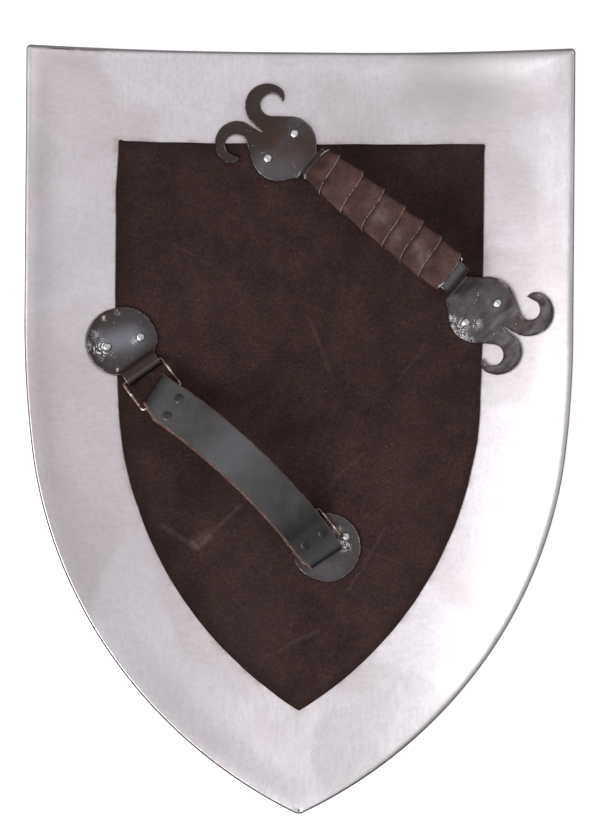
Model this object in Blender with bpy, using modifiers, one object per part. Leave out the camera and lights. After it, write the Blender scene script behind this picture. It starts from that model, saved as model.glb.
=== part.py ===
"""A steel heater shield lying on its face, hollow side up, with its grip, arm strap and suede liner.

Metres, +Z up. The top edge points to +Y, the tip to -Y. The origin is on the floor, at the middle
of the shield's outline. Every sheet is cut flat, then laid into the hollow of the shield.
"""

import math

import bmesh
import bpy
from mathutils import Matrix, Vector

# --- Driving dimensions ---------------------------------------------------------------------------

GAP = 0.0003  # left between two pieces that touch

# The shield's face: a flat band down the middle, and a round flank on each side of it.
HALF_WIDTH = 0.260
TOP = 0.3666
SHOULDER = 0.10173
FLAT_HALF = 0.035
FLANK_BEND = 0.6528
STRIPS_PER_FLANK = 11
SHEET = 0.0015
HEM_WIDTH = 0.0055
HEM_RISE = 0.0018
REST_TOP = 0.210
REST_BOTTOM = -0.060

LINER = 0.0025
LINER_HALF_WIDTH = 0.1755
LINER_TOP = 0.278

# Rivets through the shield.
SHANK = 0.0023
FRONT_HEAD = 0.0060
FRONT_HEAD_HEIGHT = 0.0012
BACK_HEAD = 0.0043
BACK_HEAD_HEIGHT = 0.0019
FACE_Z = FRONT_HEAD_HEIGHT + GAP  # the rivets' flat heads carry the shield

# Depths below are measured from the face into the hollow.
LINER_DEPTH = SHEET + GAP
FITTING_DEPTH = LINER_DEPTH + LINER + GAP

# The grip: one bar, cut flat with a horned plate at each end, then bent up into a handle.
GRIP_CENTRE = Vector((0.0806, 0.2007))
GRIP_ANGLE = math.radians(-39.35)
GRIP_THICKNESS = 0.003
GRIP_BAR_HALF = 0.015
CREASE_TO_CREASE = 0.186
GRIP_RISE = 0.044
RISER_ANGLE = math.radians(88)
LOWER_BEND = 0.0040
UPPER_BEND = 0.0025
PLATE_SHIFT = -0.0034
# Each plate: the end of the slit between its horns, then for each side the centres and radii of
# three arcs (the plate's own edge, the horn's inner curl and its outer edge) and where the last
# one turns in to the tip, in degrees.
HORN_TIP = 0.0096
UPPER_PLATE = (
    (0.054, 0.0032),
    (
        (
            ((0.0265, 0.0070), 0.0250),
            ((0.0632, 0.0236), 0.0110),
            ((0.0658, 0.0198), 0.0216),
            86,
        ),
        (
            ((0.0280, 0.0087), 0.0262),
            ((0.0646, 0.0285), 0.0106),
            ((0.0652, 0.0262), 0.0212),
            97,
        ),
    ),
)
LOWER_PLATE = (
    (0.056, 0.0),
    (
        (
            ((0.0308, 0.0080), 0.0258),
            ((0.0668, 0.0270), 0.0100),
            ((0.0684, 0.0221), 0.0217),
            80,
        ),
        (
            ((0.0312, 0.0075), 0.0255),
            ((0.0658, 0.0278), 0.0098),
            ((0.0666, 0.0243), 0.0221),
            95,
        ),
    ),
)

WRAP_START = -0.0850
WRAP_END = 0.0795
WRAP_WIDTH = 0.042
WRAP_THICKNESS = 0.0135

# The strap's two anchors: a disc with a tab rolled round the ring's bar.
DISC_RADIUS = 0.033
ANCHOR_THICKNESS = 0.002
TAB_ROOT = 0.0250
TAB_NECK = 0.0278
TAB_HALF = 0.0188
BAR_REACH = 0.0340
BAR_SLACK = 0.0018
TAB_SLOPE = math.radians(60)
TAIL_END = 0.029
UPPER_ANCHOR = Vector((-0.1687, 0.0862))
UPPER_TAB_ANGLE = math.radians(-54)
LOWER_ANCHOR = Vector((0.0282, -0.1097))
LOWER_TAB_ANGLE = math.radians(135.3)

WIRE = 0.0014
RING_LENGTH = 0.034
RING_WIDTH = 0.0440
RING_CORNER = 0.0022
RING_PLAY = -0.0008  # how far each ring has slid along its bar in the tab
UPPER_RING_ANGLE = math.radians(-51.3)
UPPER_RING_TILT = math.radians(19)
LOWER_RING_ANGLE = math.radians(-49.9)
LOWER_RING_TILT = math.radians(9.5)

# The arm strap follows an arc in plan, from its fold on the upper ring to its fold on the lower one.
STRAP_ARC_CENTRE = Vector((-0.4113, -0.4153))
STRAP_ARC_RADIUS = 0.5278
STRAP_START_ANGLE = math.radians(59.25)
STRAP_LENGTH = 0.234
STRAP_HALF = 0.0208
LEATHER = 0.003
LOOP_GAP = 2 * (WIRE + GAP) + LEATHER
CLOSED_GAP = LEATHER + GAP
STRAP_TAIL = 0.042
# Left and right edges of the strap at its two folds, where it has to fit inside the rings.
UPPER_FOLD = (-0.0130, 0.0208)
LOWER_FOLD = (-0.0155, 0.0205)
STRAP_CREST = 0.066

GRIP_RIVETS = ((-0.0055, 0.2874), (-0.0309, 0.2634), (0.1908, 0.1254), (0.1606, 0.1069))
ANCHOR_RIVETS = ((-0.1838, 0.0809), (-0.1523, 0.0908), (0.0468, -0.0993), (0.0106, -0.1193))
STRAP_SHANK = 0.0014
# Each strap rivet: how far along the strap it is, and how far across.
STRAP_RIVETS = ((0.0276, 0.0090), (0.0276, -0.0108), (0.2110, 0.0128), (0.2110, -0.0076))

COLOURS = {
    "shield_steel": ((0.62, 0.60, 0.62), 0.34, 1.0),
    "suede_brown": ((0.045, 0.028, 0.024), 0.95, 0.0),
    "grip_suede": ((0.085, 0.055, 0.048), 0.85, 0.0),
    "black_iron": ((0.075, 0.070, 0.072), 0.45, 1.0),
    "ring_wire": ((0.16, 0.10, 0.08), 0.35, 1.0),
    "strap_leather": ((0.060, 0.060, 0.063), 0.50, 0.0),
    "rivet_steel": ((0.80, 0.79, 0.78), 0.28, 1.0),
    "strap_rivet_black": ((0.085, 0.085, 0.085), 0.45, 0.6),
}


# --- Scene, materials and objects -----------------------------------------------------------------


def clear_scene():
    for obj in list(bpy.data.objects):
        bpy.data.objects.remove(obj, do_unlink=True)


def new_collection(name):
    collection = bpy.data.collections.new(name)
    bpy.context.scene.collection.children.link(collection)
    return collection


def new_material(name):
    colour, roughness, metallic = COLOURS[name]
    material = bpy.data.materials.new(name)
    material.use_nodes = True
    shader = material.node_tree.nodes["Principled BSDF"]
    shader.inputs["Base Color"].default_value = (*colour, 1.0)
    shader.inputs["Roughness"].default_value = roughness
    shader.inputs["Metallic"].default_value = metallic
    return material


def add_object(name, data, material_name=None):
    """Links a new object to the shield's collection and parents it to the shield's empty."""
    obj = bpy.data.objects.new(name, data)
    PARTS.objects.link(obj)
    obj.parent = SHIELD
    if material_name:
        data.materials.clear()
        data.materials.append(MATERIALS[material_name])
    return obj


def add_cutter(name, bm, matrix, collection):
    """Links a hidden object made from bm, for a Boolean to cut with."""
    mesh = bpy.data.meshes.new(name)
    bm.to_mesh(mesh)
    bm.free()
    cutter = bpy.data.objects.new(name, mesh)
    collection.objects.link(cutter)
    cutter.matrix_world = matrix
    cutter.hide_render = True
    cutter.display_type = "WIRE"
    return cutter


def round_cutter(radius, length):
    bm = bmesh.new()
    bmesh.ops.create_cone(
        bm, cap_ends=True, segments=12, radius1=radius, radius2=radius, depth=length
    )
    return bm


def box(length, width, height):
    bm = bmesh.new()
    bmesh.ops.create_cube(bm, size=1.0)
    bmesh.ops.scale(bm, vec=(length, width, height), verts=bm.verts)
    return bm


def solidify(obj, thickness):
    """Thickens an open sheet on the side that its faces look to."""
    modifier = obj.modifiers.new("thickness", "SOLIDIFY")
    modifier.thickness = thickness
    modifier.offset = 1.0
    modifier.use_even_offset = True


def drill(obj, collection):
    modifier = obj.modifiers.new("holes", "BOOLEAN")
    modifier.operation = "DIFFERENCE"
    modifier.solver = "EXACT"
    modifier.operand_type = "COLLECTION"
    modifier.collection = collection


def shade_smooth(mesh, angle=35):
    mesh.shade_smooth()
    mesh.set_sharp_from_angle(angle=math.radians(angle))


# --- The hollow of the shield ---------------------------------------------------------------------


def hollow(x, depth=0.0):
    """Height of the surface that lies `depth` behind the shield's face, at x."""
    beyond = max(0.0, abs(x) - FLAT_HALF)
    radius = FLANK_BEND - depth
    return FACE_Z + FLANK_BEND - math.sqrt(radius * radius - beyond * beyond)


def hollow_normal(x):
    """The direction from the face into the hollow, at x."""
    beyond = max(0.0, abs(x) - FLAT_HALF)
    lean = math.asin(beyond / FLANK_BEND)
    return Vector((-math.copysign(math.sin(lean), x), 0.0, math.cos(lean)))


def bend_lines():
    """The x positions where the shield's flat strips meet."""
    step = (HALF_WIDTH - FLAT_HALF) / STRIPS_PER_FLANK
    right = [FLAT_HALF + step * i for i in range(STRIPS_PER_FLANK)]
    return [-x for x in reversed(right)] + right


def frame_at(x, y, depth=0.0):
    """A matrix with its Z axis square to the shield at x, y and its origin on the face."""
    normal = hollow_normal(x)
    across = Vector((0.0, 1.0, 0.0)).cross(normal)
    origin = Vector((x, y, hollow(x))) + normal * depth
    columns = Matrix((across, Vector((0.0, 1.0, 0.0)), normal)).transposed()
    return Matrix.Translation(origin) @ columns.to_4x4()


# --- Flat outlines --------------------------------------------------------------------------------


def arc(centre, radius, start, end, steps):
    """Points along an arc, angles in degrees."""
    points = []
    for i in range(steps + 1):
        angle = math.radians(start + (end - start) * i / steps)
        points.append(
            (centre[0] + radius * math.cos(angle), centre[1] + radius * math.sin(angle))
        )
    return points


def heater_outline(half_width, top, shoulder, ease, flank, corner, tip_half, lean):
    """A heater's outline: straight top and sides, then flanks that ease into round curves to the tip.

    ease is (radius, degrees) and flank is a radius. lean is how far the tip strays to the right.
    """
    ease_radius, ease_degrees = ease
    side = arc((half_width - ease_radius, shoulder), ease_radius, 0, -ease_degrees, 2)
    turn = math.radians(ease_degrees)
    centre_x = side[-1][0] - flank * math.cos(turn)
    centre_y = side[-1][1] + flank * math.sin(turn)
    tip_angle = math.degrees(math.acos((tip_half - centre_x) / flank))
    side += arc((centre_x, centre_y), flank, -ease_degrees, -tip_angle, 18)[1:]
    tip = side[-1][1]
    corner_arc = arc((half_width - corner, top - corner), corner, 90, 0, 3)
    right = corner_arc + side
    left = [(-x, y) for x, y in reversed(right)]

    def leaned(x, y):
        return (x + lean * max(0.0, (shoulder - y) / (shoulder - tip)), y)

    return [leaned(x, y) for x, y in right + left]


def shield_outline(inset=0.0):
    return heater_outline(
        HALF_WIDTH - inset,
        TOP - inset,
        SHOULDER,
        (1.028 - inset, 6.5),
        0.446 - inset,
        max(0.0045 - inset, 0.001),
        0.0025,
        0.0035,
    )


def liner_outline():
    return heater_outline(
        LINER_HALF_WIDTH, LINER_TOP, 0.1467, (2.588, 2.69), 0.3633, 0.003, 0.002, 0.003
    )


def flat_sheet(outline):
    """A bmesh with one flat face inside the outline, looking up."""
    bm = bmesh.new()
    face = bm.faces.new([bm.verts.new((x, y, 0.0)) for x, y in outline])
    bm.normal_update()
    if face.normal.z < 0:
        face.normal_flip()
    return bm


def with_borders(faces):
    """These faces with their edges and corners, each once and in a steady order."""
    edges = dict.fromkeys(edge for face in faces for edge in face.edges)
    verts = dict.fromkeys(vert for face in faces for vert in face.verts)
    return [*faces, *edges, *verts]


def slice_sheet(bm, normal, stations, chosen=None):
    """Cuts the sheet along parallel lines square to `normal`, so that it can bend there."""
    for station in stations:
        bmesh.ops.bisect_plane(
            bm,
            geom=with_borders([f for f in bm.faces if chosen is None or chosen(f)]),
            dist=1e-6,
            plane_co=Vector(normal) * station,
            plane_no=normal,
        )


def sheet_object(name, bm, material_name):
    mesh = bpy.data.meshes.new(name)
    bm.to_mesh(mesh)
    bm.free()
    shade_smooth(mesh)
    return add_object(name, mesh, material_name)


# --- Shield and liner -----------------------------------------------------------------------------


def lay_in_hollow(bm, depth):
    for vert in bm.verts:
        vert.co.z = hollow(vert.co.x, depth)


def build_up(bm, faces, depth):
    """Extrudes these faces until they lie `depth` behind the shield's face."""
    made = bmesh.ops.extrude_face_region(bm, geom=with_borders(faces))["geom"]
    for vert in made:
        if isinstance(vert, bmesh.types.BMVert):
            vert.co.z = hollow(vert.co.x, depth)
    bmesh.ops.recalc_face_normals(bm, faces=bm.faces)
    return [face for face in made if isinstance(face, bmesh.types.BMFace)]


def in_flat_band(face):
    return face.material_index == 0 and abs(face.calc_center_median().x) < FLAT_HALF


def make_shield_body():
    """The steel sheet, with its edge folded over onto the hollow side."""
    hem = 1
    bm = bmesh.new()
    inner = [bm.verts.new((x, y, 0.0)) for x, y in shield_outline(HEM_WIDTH)]
    outer = [bm.verts.new((x, y, 0.0)) for x, y in shield_outline()]
    bm.faces.new(inner)
    for i in range(len(inner)):
        band = bm.faces.new((inner[i - 1], outer[i - 1], outer[i], inner[i]))
        band.material_index = hem
    slice_sheet(bm, (1, 0, 0), bend_lines())
    slice_sheet(bm, (0, 1, 0), (REST_BOTTOM, REST_TOP), chosen=in_flat_band)
    lay_in_hollow(bm, 0.0)
    back = build_up(bm, bm.faces[:], SHEET)
    build_up(bm, [face for face in back if face.material_index == hem], SHEET + HEM_RISE)
    for face in bm.faces:
        face.material_index = 0
    drill(sheet_object("shield_body", bm, "shield_steel"), SHIELD_HOLES)


def make_liner():
    bm = flat_sheet(liner_outline())
    slice_sheet(bm, (1, 0, 0), bend_lines())
    lay_in_hollow(bm, LINER_DEPTH)
    build_up(bm, bm.faces[:], LINER_DEPTH + LINER)
    drill(sheet_object("suede_liner", bm, "suede_brown"), SHIELD_HOLES)


# --- Grip -----------------------------------------------------------------------------------------


def bend_profile(segments):
    """Turns (length, turn in radians, steps) segments into a function from length to (run, rise).

    It also returns the lengths at which the strip has to be cut to bend.
    """
    stations = [(0.0, 0.0, 0.0)]
    heading = 0.0
    for length, turn, steps in segments:
        for _ in range(steps):
            heading += turn / steps / 2
            along, run, rise = stations[-1]
            chord = length / steps
            stations.append(
                (
                    along + chord,
                    run + chord * math.cos(heading),
                    rise + chord * math.sin(heading),
                )
            )
            heading += turn / steps / 2

    def bent(along):
        for (a0, run0, rise0), (a1, run1, rise1) in zip(stations, stations[1:]):
            if along <= a1 or (a1, run1, rise1) == stations[-1]:
                part = (along - a0) / (a1 - a0)
                return run0 + (run1 - run0) * part, rise0 + (rise1 - rise0) * part
        return along, 0.0

    return bent, [along for along, _, _ in stations[1:-1]]


def plate_outline(slit_end, horns):
    """One end of the flat grip, out from the crease along x: a rounded plate with two horns."""
    points = []
    for side, horn in zip((-1, 1), horns):
        (belly, belly_radius), (curl, curl_radius), (outer, outer_radius), last = horn
        edge = arc(belly, belly_radius, 142, 56, 7)
        edge += arc(curl, curl_radius, 236, 446, 10)
        inward = outer_radius - HORN_TIP
        toward = math.radians(last)
        tip = (outer[0] + inward * math.cos(toward), outer[1] + inward * math.sin(toward))
        edge += arc(tip, HORN_TIP, last + 90, last, 4)
        edge += arc(outer, outer_radius, last - 9, -80, 12)
        edge += [(slit_end[0], side * slit_end[1] + 0.0005)]
        edge = [(0.0, GRIP_BAR_HALF)] + edge
        edge = [(x, side * y) for x, y in edge]
        points += edge if side < 0 else edge[::-1]
    return points


def riser_segments():
    """The bar from the end of its level top down to the crease, as bend_profile reads it."""
    bends = (LOWER_BEND + UPPER_BEND) * (1 - math.cos(RISER_ANGLE))
    straight = (GRIP_RISE - bends) / math.sin(RISER_ANGLE)
    run = (LOWER_BEND + UPPER_BEND) * math.sin(RISER_ANGLE)
    run += straight * math.cos(RISER_ANGLE)
    level = CREASE_TO_CREASE / 2 - run
    return (
        (level, 0.0, 1),
        (UPPER_BEND * RISER_ANGLE, -RISER_ANGLE, 4),
        (straight, 0.0, 1),
        (LOWER_BEND * RISER_ANGLE, RISER_ANGLE, 4),
        (0.2, 0.0, 1),
    )


def grip_axes():
    along = Vector((math.cos(GRIP_ANGLE), math.sin(GRIP_ANGLE)))
    return along, Vector((-along.y, along.x))


def crease_height(side):
    """Height of the plates' underside at the middle of one crease."""
    along, across = grip_axes()
    crease = GRIP_CENTRE + along * (side * CREASE_TO_CREASE / 2) + across * PLATE_SHIFT
    return hollow(crease.x, FITTING_DEPTH)


def grip_slope():
    """Rise of the bar's level top for each metre along it."""
    return (crease_height(1) - crease_height(-1)) / CREASE_TO_CREASE


def grip_base(run):
    """Height of the line from crease to crease."""
    return (crease_height(1) + crease_height(-1)) / 2 + grip_slope() * run


def make_grip_bar():
    bent, stations = bend_profile(riser_segments())
    crease = stations[-1]
    lower = [(crease + x, y) for x, y in plate_outline(*LOWER_PLATE)]
    upper = [(-crease - x, -y) for x, y in plate_outline(*UPPER_PLATE)]
    ends = [(u, q + PLATE_SHIFT) for u, q in lower + upper]
    bm = flat_sheet(with_straight_bar(ends, stations[0]))
    slice_sheet(bm, (1, 0, 0), [-u for u in stations] + stations)
    along, across = grip_axes()
    for vert in bm.verts:
        u, q, _ = vert.co
        run, rise = bent(abs(u))
        run = math.copysign(run, u)
        place = GRIP_CENTRE + along * run + across * q
        vert.co = (place.x, place.y, rise + GRIP_RISE)
    slice_sheet(bm, (1, 0, 0), bend_lines(), chosen=lies_low)
    for vert in bm.verts:
        run = (vert.co.xy - GRIP_CENTRE).dot(along)
        share = min(1.0, max(0.0, vert.co.z / GRIP_RISE))
        base = share * grip_base(run) + (1 - share) * hollow(vert.co.x, FITTING_DEPTH)
        vert.co.z += base
    grip = sheet_object("grip_bar", bm, "black_iron")
    solidify(grip, GRIP_THICKNESS)
    drill(grip, SHIELD_HOLES)


def with_straight_bar(outline, level_end):
    """Adds the bar's own corners between the two plates' necks."""
    half = len(outline) // 2
    lower_side = [(-level_end, -GRIP_BAR_HALF), (level_end, -GRIP_BAR_HALF)]
    upper_side = [(level_end, GRIP_BAR_HALF), (-level_end, GRIP_BAR_HALF)]
    return outline[:half] + upper_side + outline[half:] + lower_side


def lies_low(face):
    return all(vert.co.z < 1e-5 for vert in face.verts)


def make_grip_wrap():
    """The suede round the bar: a long pad, narrower at its ends, with the bar's slot through it."""
    length = WRAP_END - WRAP_START
    bm = box(length, WRAP_WIDTH, WRAP_THICKNESS)
    slice_sheet(bm, (1, 0, 0), (-length / 2 + 0.016, length / 2 - 0.010))
    for vert in bm.verts:
        if abs(vert.co.x) > length / 2 - 1e-5:
            vert.co.y *= 0.80
            vert.co.z *= 0.85
    wrap = sheet_object("grip_wrap", bm, "grip_suede")
    wrap.matrix_world = bar_frame((WRAP_START + WRAP_END) / 2)
    rounding = wrap.modifiers.new("rounding", "BEVEL")
    rounding.width = 0.0038
    rounding.segments = 2
    rounding.limit_method = "ANGLE"
    rounding.angle_limit = math.radians(40)
    slot = box(2 * length, 2 * (GRIP_BAR_HALF + GAP), GRIP_THICKNESS + 2 * GAP)
    cut = wrap.modifiers.new("slot", "BOOLEAN")
    cut.operation = "DIFFERENCE"
    cut.solver = "EXACT"
    cut.object = add_cutter("bar_slot", slot, wrap.matrix_world, CUTTERS)


def bar_frame(run):
    """Frame in the middle of the bar's level top: X along it, Z square to it."""
    along, across = grip_axes()
    forward = Vector((along.x, along.y, grip_slope())).normalized()
    side = Vector((across.x, across.y, 0.0))
    normal = forward.cross(side)
    place = GRIP_CENTRE + along * run
    origin = Vector((place.x, place.y, grip_base(run) + GRIP_RISE))
    origin += normal * (GRIP_THICKNESS / 2)
    return Matrix.Translation(origin) @ Matrix((forward, side, normal)).transposed().to_4x4()


# --- Anchors and rings ----------------------------------------------------------------------------


def bar_height():
    """Height of a ring bar's centre above the underside of its anchor's disc."""
    return ANCHOR_THICKNESS + GAP + WIRE


def make_anchor(name, centre, angle):
    """A disc and tab cut from one plate. The tab climbs, rolls over the ring and ends under itself."""
    rise = bar_height() + WIRE + GAP
    bend = rise / (2 * (1 - math.cos(TAB_SLOPE)))
    slope_start = BAR_REACH - BAR_SLACK - 2 * bend * math.sin(TAB_SLOPE)
    roll = WIRE + GAP
    bent, stations = bend_profile(
        (
            (slope_start, 0.0, 1),
            (bend * TAB_SLOPE, TAB_SLOPE, 3),
            (bend * TAB_SLOPE, -TAB_SLOPE, 3),
            (2 * BAR_SLACK, 0.0, 1),
            (roll * math.pi, -math.pi, 6),
            (0.1, 0.0, 1),
        )
    )
    end = stations[-1] + BAR_REACH + BAR_SLACK - TAIL_END
    root = math.degrees(math.acos(TAB_ROOT / DISC_RADIUS))
    outline = arc((0, 0), DISC_RADIUS, root, 360 - root, 26)
    corners = [(TAB_NECK, TAB_HALF), (end, TAB_HALF)]
    outline += [(u, -v) for u, v in corners] + corners[::-1]
    bm = flat_sheet(outline)
    slice_sheet(bm, (1, 0, 0), stations)
    along = Vector((math.cos(angle), math.sin(angle)))
    across = Vector((-along.y, along.x))
    for vert in bm.verts:
        p, q, _ = vert.co
        run, height = bent(p) if p > 0 else (p, 0.0)
        place = centre + along * run + across * q
        vert.co = (place.x, place.y, height)
    slice_sheet(bm, (1, 0, 0), bend_lines(), chosen=lies_low)
    for vert in bm.verts:
        vert.co.z += hollow(vert.co.x, FITTING_DEPTH)
    anchor = sheet_object(name, bm, "black_iron")
    solidify(anchor, ANCHOR_THICKNESS)
    drill(anchor, SHIELD_HOLES)


def ring_frame(centre, tab_angle, ring_angle, tilt):
    """Frame of a ring: origin in the middle of the bar in the tab, X to the far bar, Y along the bar."""
    near = centre + BAR_REACH * Vector((math.cos(tab_angle), math.sin(tab_angle)))
    loop = Vector((-math.sin(tab_angle), math.cos(tab_angle)))
    ends = [near + loop * (side * TAB_HALF) for side in (-1, 1)]
    heights = [hollow(end.x, FITTING_DEPTH) for end in ends]
    climb = (heights[1] - heights[0]) / (2 * TAB_HALF)
    if loop.x * math.cos(ring_angle + math.pi / 2) < 0:
        climb = -climb
    bar_angle = ring_angle + math.pi / 2 + math.asin(climb * math.tan(tilt))
    forward = Vector((math.cos(ring_angle), math.sin(ring_angle), math.tan(tilt))).normalized()
    bar = Vector((math.cos(bar_angle), math.sin(bar_angle), climb)).normalized()
    origin = Vector((near.x, near.y, sum(heights) / 2 + bar_height()))
    origin += bar * RING_PLAY
    turn = Matrix((forward, bar, forward.cross(bar))).transposed()
    return Matrix.Translation(origin) @ turn.to_4x4()


def make_ring(name, frame):
    half = RING_WIDTH / 2
    inner_x = (RING_CORNER, RING_LENGTH - RING_CORNER)
    inner_y = half - RING_CORNER
    corners = (
        ((inner_x[1], inner_y), 90, 0),
        ((inner_x[1], -inner_y), 0, -90),
        ((inner_x[0], -inner_y), -90, -180),
        ((inner_x[0], inner_y), 180, 90),
    )
    path = [p for centre, a, b in corners for p in arc(centre, RING_CORNER, a, b, 4)]
    curve = bpy.data.curves.new(name, "CURVE")
    curve.dimensions = "3D"
    curve.bevel_depth = WIRE
    curve.bevel_resolution = 2
    spline = curve.splines.new("POLY")
    spline.points.add(len(path) - 1)
    for point, (x, y) in zip(spline.points, path):
        point.co = (x, y, 0.0, 1.0)
    spline.use_cyclic_u = True
    ring = add_object(name, curve, "ring_wire")
    ring.matrix_world = frame


# --- Arm strap ------------------------------------------------------------------------------------


def strap_direction(along):
    """Unit vectors along and across the strap in plan; across points away from the arc's centre."""
    angle = STRAP_START_ANGLE - along / STRAP_ARC_RADIUS
    across = Vector((math.cos(angle), math.sin(angle)))
    return Vector((across.y, -across.x)), across


def strap_plan(along, across):
    _, outward = strap_direction(along)
    return STRAP_ARC_CENTRE + outward * (STRAP_ARC_RADIUS + across)


def plane_slope(frame, direction):
    """How fast the frame's XY plane climbs along a direction in plan."""
    normal = frame.col[2]
    return -(normal.x * direction.x + normal.y * direction.y) / normal.z


def strap_place(point):
    """(along, across) of a point in plan, on the strap."""
    arm = Vector(point[:2]) - STRAP_ARC_CENTRE
    angle = math.atan2(arm.y, arm.x)
    return (STRAP_START_ANGLE - angle) * STRAP_ARC_RADIUS, arm.length - STRAP_ARC_RADIUS


def bezier(p0, p1, p2, p3, t):
    s = 1 - t
    return s**3 * p0 + 3 * s * s * t * p1 + 3 * s * t * t * p2 + t**3 * p3


class StrapEnd:
    """Where the far bar of a ring crosses the strap, and how it is turned there."""

    def __init__(self, ring):
        bar = ring @ Vector((RING_LENGTH, 0, 0))
        self.along, self.across = strap_place(bar)
        forward, outward = strap_direction(self.along)
        direction = ring.col[1].xy
        self.skew = direction.dot(forward) / direction.dot(outward)
        self.slope = plane_slope(ring, forward)
        self.lean = plane_slope(ring, outward)
        self.height = bar.z - self.across * self.lean + LOOP_GAP / 2 / ring.col[2].z

    def bar_at(self, across):
        return self.along + self.skew * (across - self.across)


class StrapRoute:
    """The height, lean and tail of the strap along its length."""

    upper_end, crest, lower_end = 0.031, 0.105, 0.203
    lower_slope = -0.07

    def __init__(self, upper_ring, lower_ring):
        self.upper = StrapEnd(upper_ring)
        self.lower = StrapEnd(lower_ring)

    def height(self, along):
        """Height of the top layer's middle, on the strap's own centre line."""
        upper, lower = self.upper, self.lower
        upper_z = upper.height + upper.slope * (self.upper_end - upper.along)
        lower_z = lower.height + self.lower_slope * (self.lower_end - lower.along)
        if along <= self.upper_end:
            return upper_z + upper.slope * (along - self.upper_end)
        if along >= self.lower_end:
            return lower_z + self.lower_slope * (along - self.lower_end)
        if along < self.crest:
            start, end = (self.upper_end, upper_z), (self.crest, STRAP_CREST)
            reach = 0.025
            handles = (reach, upper_z + reach * upper.slope), (0.040, STRAP_CREST)
        else:
            start, end = (self.crest, STRAP_CREST), (self.lower_end, lower_z)
            handles = (0.044, STRAP_CREST), (0.014, lower_z + 0.0010)
        # The handles' x positions are equally placed, so that t can be found by halving.
        xs = start[0], start[0] + handles[0][0], end[0] - handles[1][0], end[0]
        low, high = 0.0, 1.0
        for _ in range(40):
            middle = (low + high) / 2
            if bezier(*xs, middle) < along:
                low = middle
            else:
                high = middle
        return bezier(start[1], handles[0][1], handles[1][1], end[1], (low + high) / 2)

    def slope(self, along):
        step = 0.0005
        return (self.height(along + step) - self.height(along - step)) / (2 * step)

    def lean_at(self, along):
        share = (along - self.upper_end) / (self.lower_end - self.upper_end)
        return self.upper.lean * (1 - min(1.0, max(0.0, share)))

    def normal(self, along):
        """The direction square to the top layer, on the strap's centre line."""
        forward, outward = strap_direction(along)
        fall = forward * self.slope(along) + outward * self.lean_at(along)
        return Vector((-fall.x, -fall.y, 1.0)).normalized()

    def tail_gap(self, along, across):
        """Distance between the middles of the two layers: wide round the bar, then closed."""
        if along < self.crest:
            past = along - self.upper.bar_at(across)
        else:
            past = self.lower.bar_at(across) - along
        share = min(1.0, max(0.0, (past - 0.0020) / 0.0042))
        return LOOP_GAP + (CLOSED_GAP - LOOP_GAP) * share

    def askew(self, along, across):
        """Turns the tail's rows to lie along the bar where they pass it."""
        if along < self.crest:
            end, distance = self.upper, along
        else:
            end, distance = self.lower, STRAP_LENGTH - along
        share = min((distance - 0.005) / 0.005, (STRAP_TAIL - distance) / 0.016, 1.0)
        return along + max(0.0, share) * end.skew * (across - end.across)

    def edges(self, along, tail):
        """The strap's left and right edges: cut in a little where it goes round the rings."""
        edges = [-STRAP_HALF, STRAP_HALF]
        for fold, distance in ((UPPER_FOLD, along), (LOWER_FOLD, STRAP_LENGTH - along)):
            share = 1 - min(1.0, distance / 0.015)
            edges = [e + (f - e) * share for e, f in zip(edges, fold)]
        if tail:
            edges = [max(edges[0], -0.0155), min(edges[1], 0.0190)]
        return edges

    def point(self, along, drop, sideways, tail):
        """A point of the strap's middle surface. drop is in tail gaps; sideways is from 0 to 1."""
        left, right = self.edges(along, tail)
        across = left + (right - left) * sideways
        if tail:
            along = self.askew(along, across)
        place = strap_plan(along, across)
        height = self.height(along) + across * self.lean_at(along)
        gap = self.tail_gap(along, across) * drop
        return Vector((place.x, place.y, height)) - self.normal(along) * gap


def tail_stations(bar):
    """Distances from the fold at which a tail is shaped, given the bar's own distance."""
    past_bar = (0.0115, 0.0062, 0.0041, 0.0020, -0.0020)
    return [STRAP_TAIL, 0.036, 0.030] + [bar + past for past in past_bar]


def strap_stations(route):
    """(along, drop, tail) from the end of the upper tail, round both folds, to the lower end."""
    fold = (LOOP_GAP + LEATHER) / 2
    round_fold = []
    for i in range(1, 6):
        angle = math.pi * i / 6
        round_fold.append((math.sin(angle) * LOOP_GAP / 2, (1 + math.cos(angle)) / 2))
    upper_tail = tail_stations(route.upper.along) + [fold]
    lower_tail = tail_stations(STRAP_LENGTH - route.lower.along) + [fold]
    stations = [(along, 1.0, True) for along in upper_tail]
    stations += [(fold - out, drop, False) for out, drop in round_fold]
    count = 24
    end = STRAP_LENGTH - fold
    stations += [(fold + (end - fold) * i / count, 0.0, False) for i in range(count + 1)]
    stations += [(end + out, drop, False) for out, drop in reversed(round_fold)]
    stations += [(STRAP_LENGTH - along, 1.0, True) for along in reversed(lower_tail)]
    return stations


def make_strap(route):
    stations = strap_stations(route)
    columns = 3
    bm = bmesh.new()
    bmesh.ops.create_grid(
        bm, x_segments=len(stations) - 1, y_segments=columns - 1, size=0.5
    )
    for vert in bm.verts:
        row = round((vert.co.x + 0.5) * (len(stations) - 1))
        sideways = round((vert.co.y + 0.5) * (columns - 1)) / (columns - 1)
        vert.co = route.point(*stations[row][:2], sideways, stations[row][2])
    bmesh.ops.recalc_face_normals(bm, faces=bm.faces)
    strap = sheet_object("arm_strap", bm, "strap_leather")
    thickness = strap.modifiers.new("thickness", "SOLIDIFY")
    thickness.thickness = LEATHER
    thickness.offset = 0.0
    thickness.use_even_offset = True
    drill(strap, STRAP_HOLES)


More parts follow.
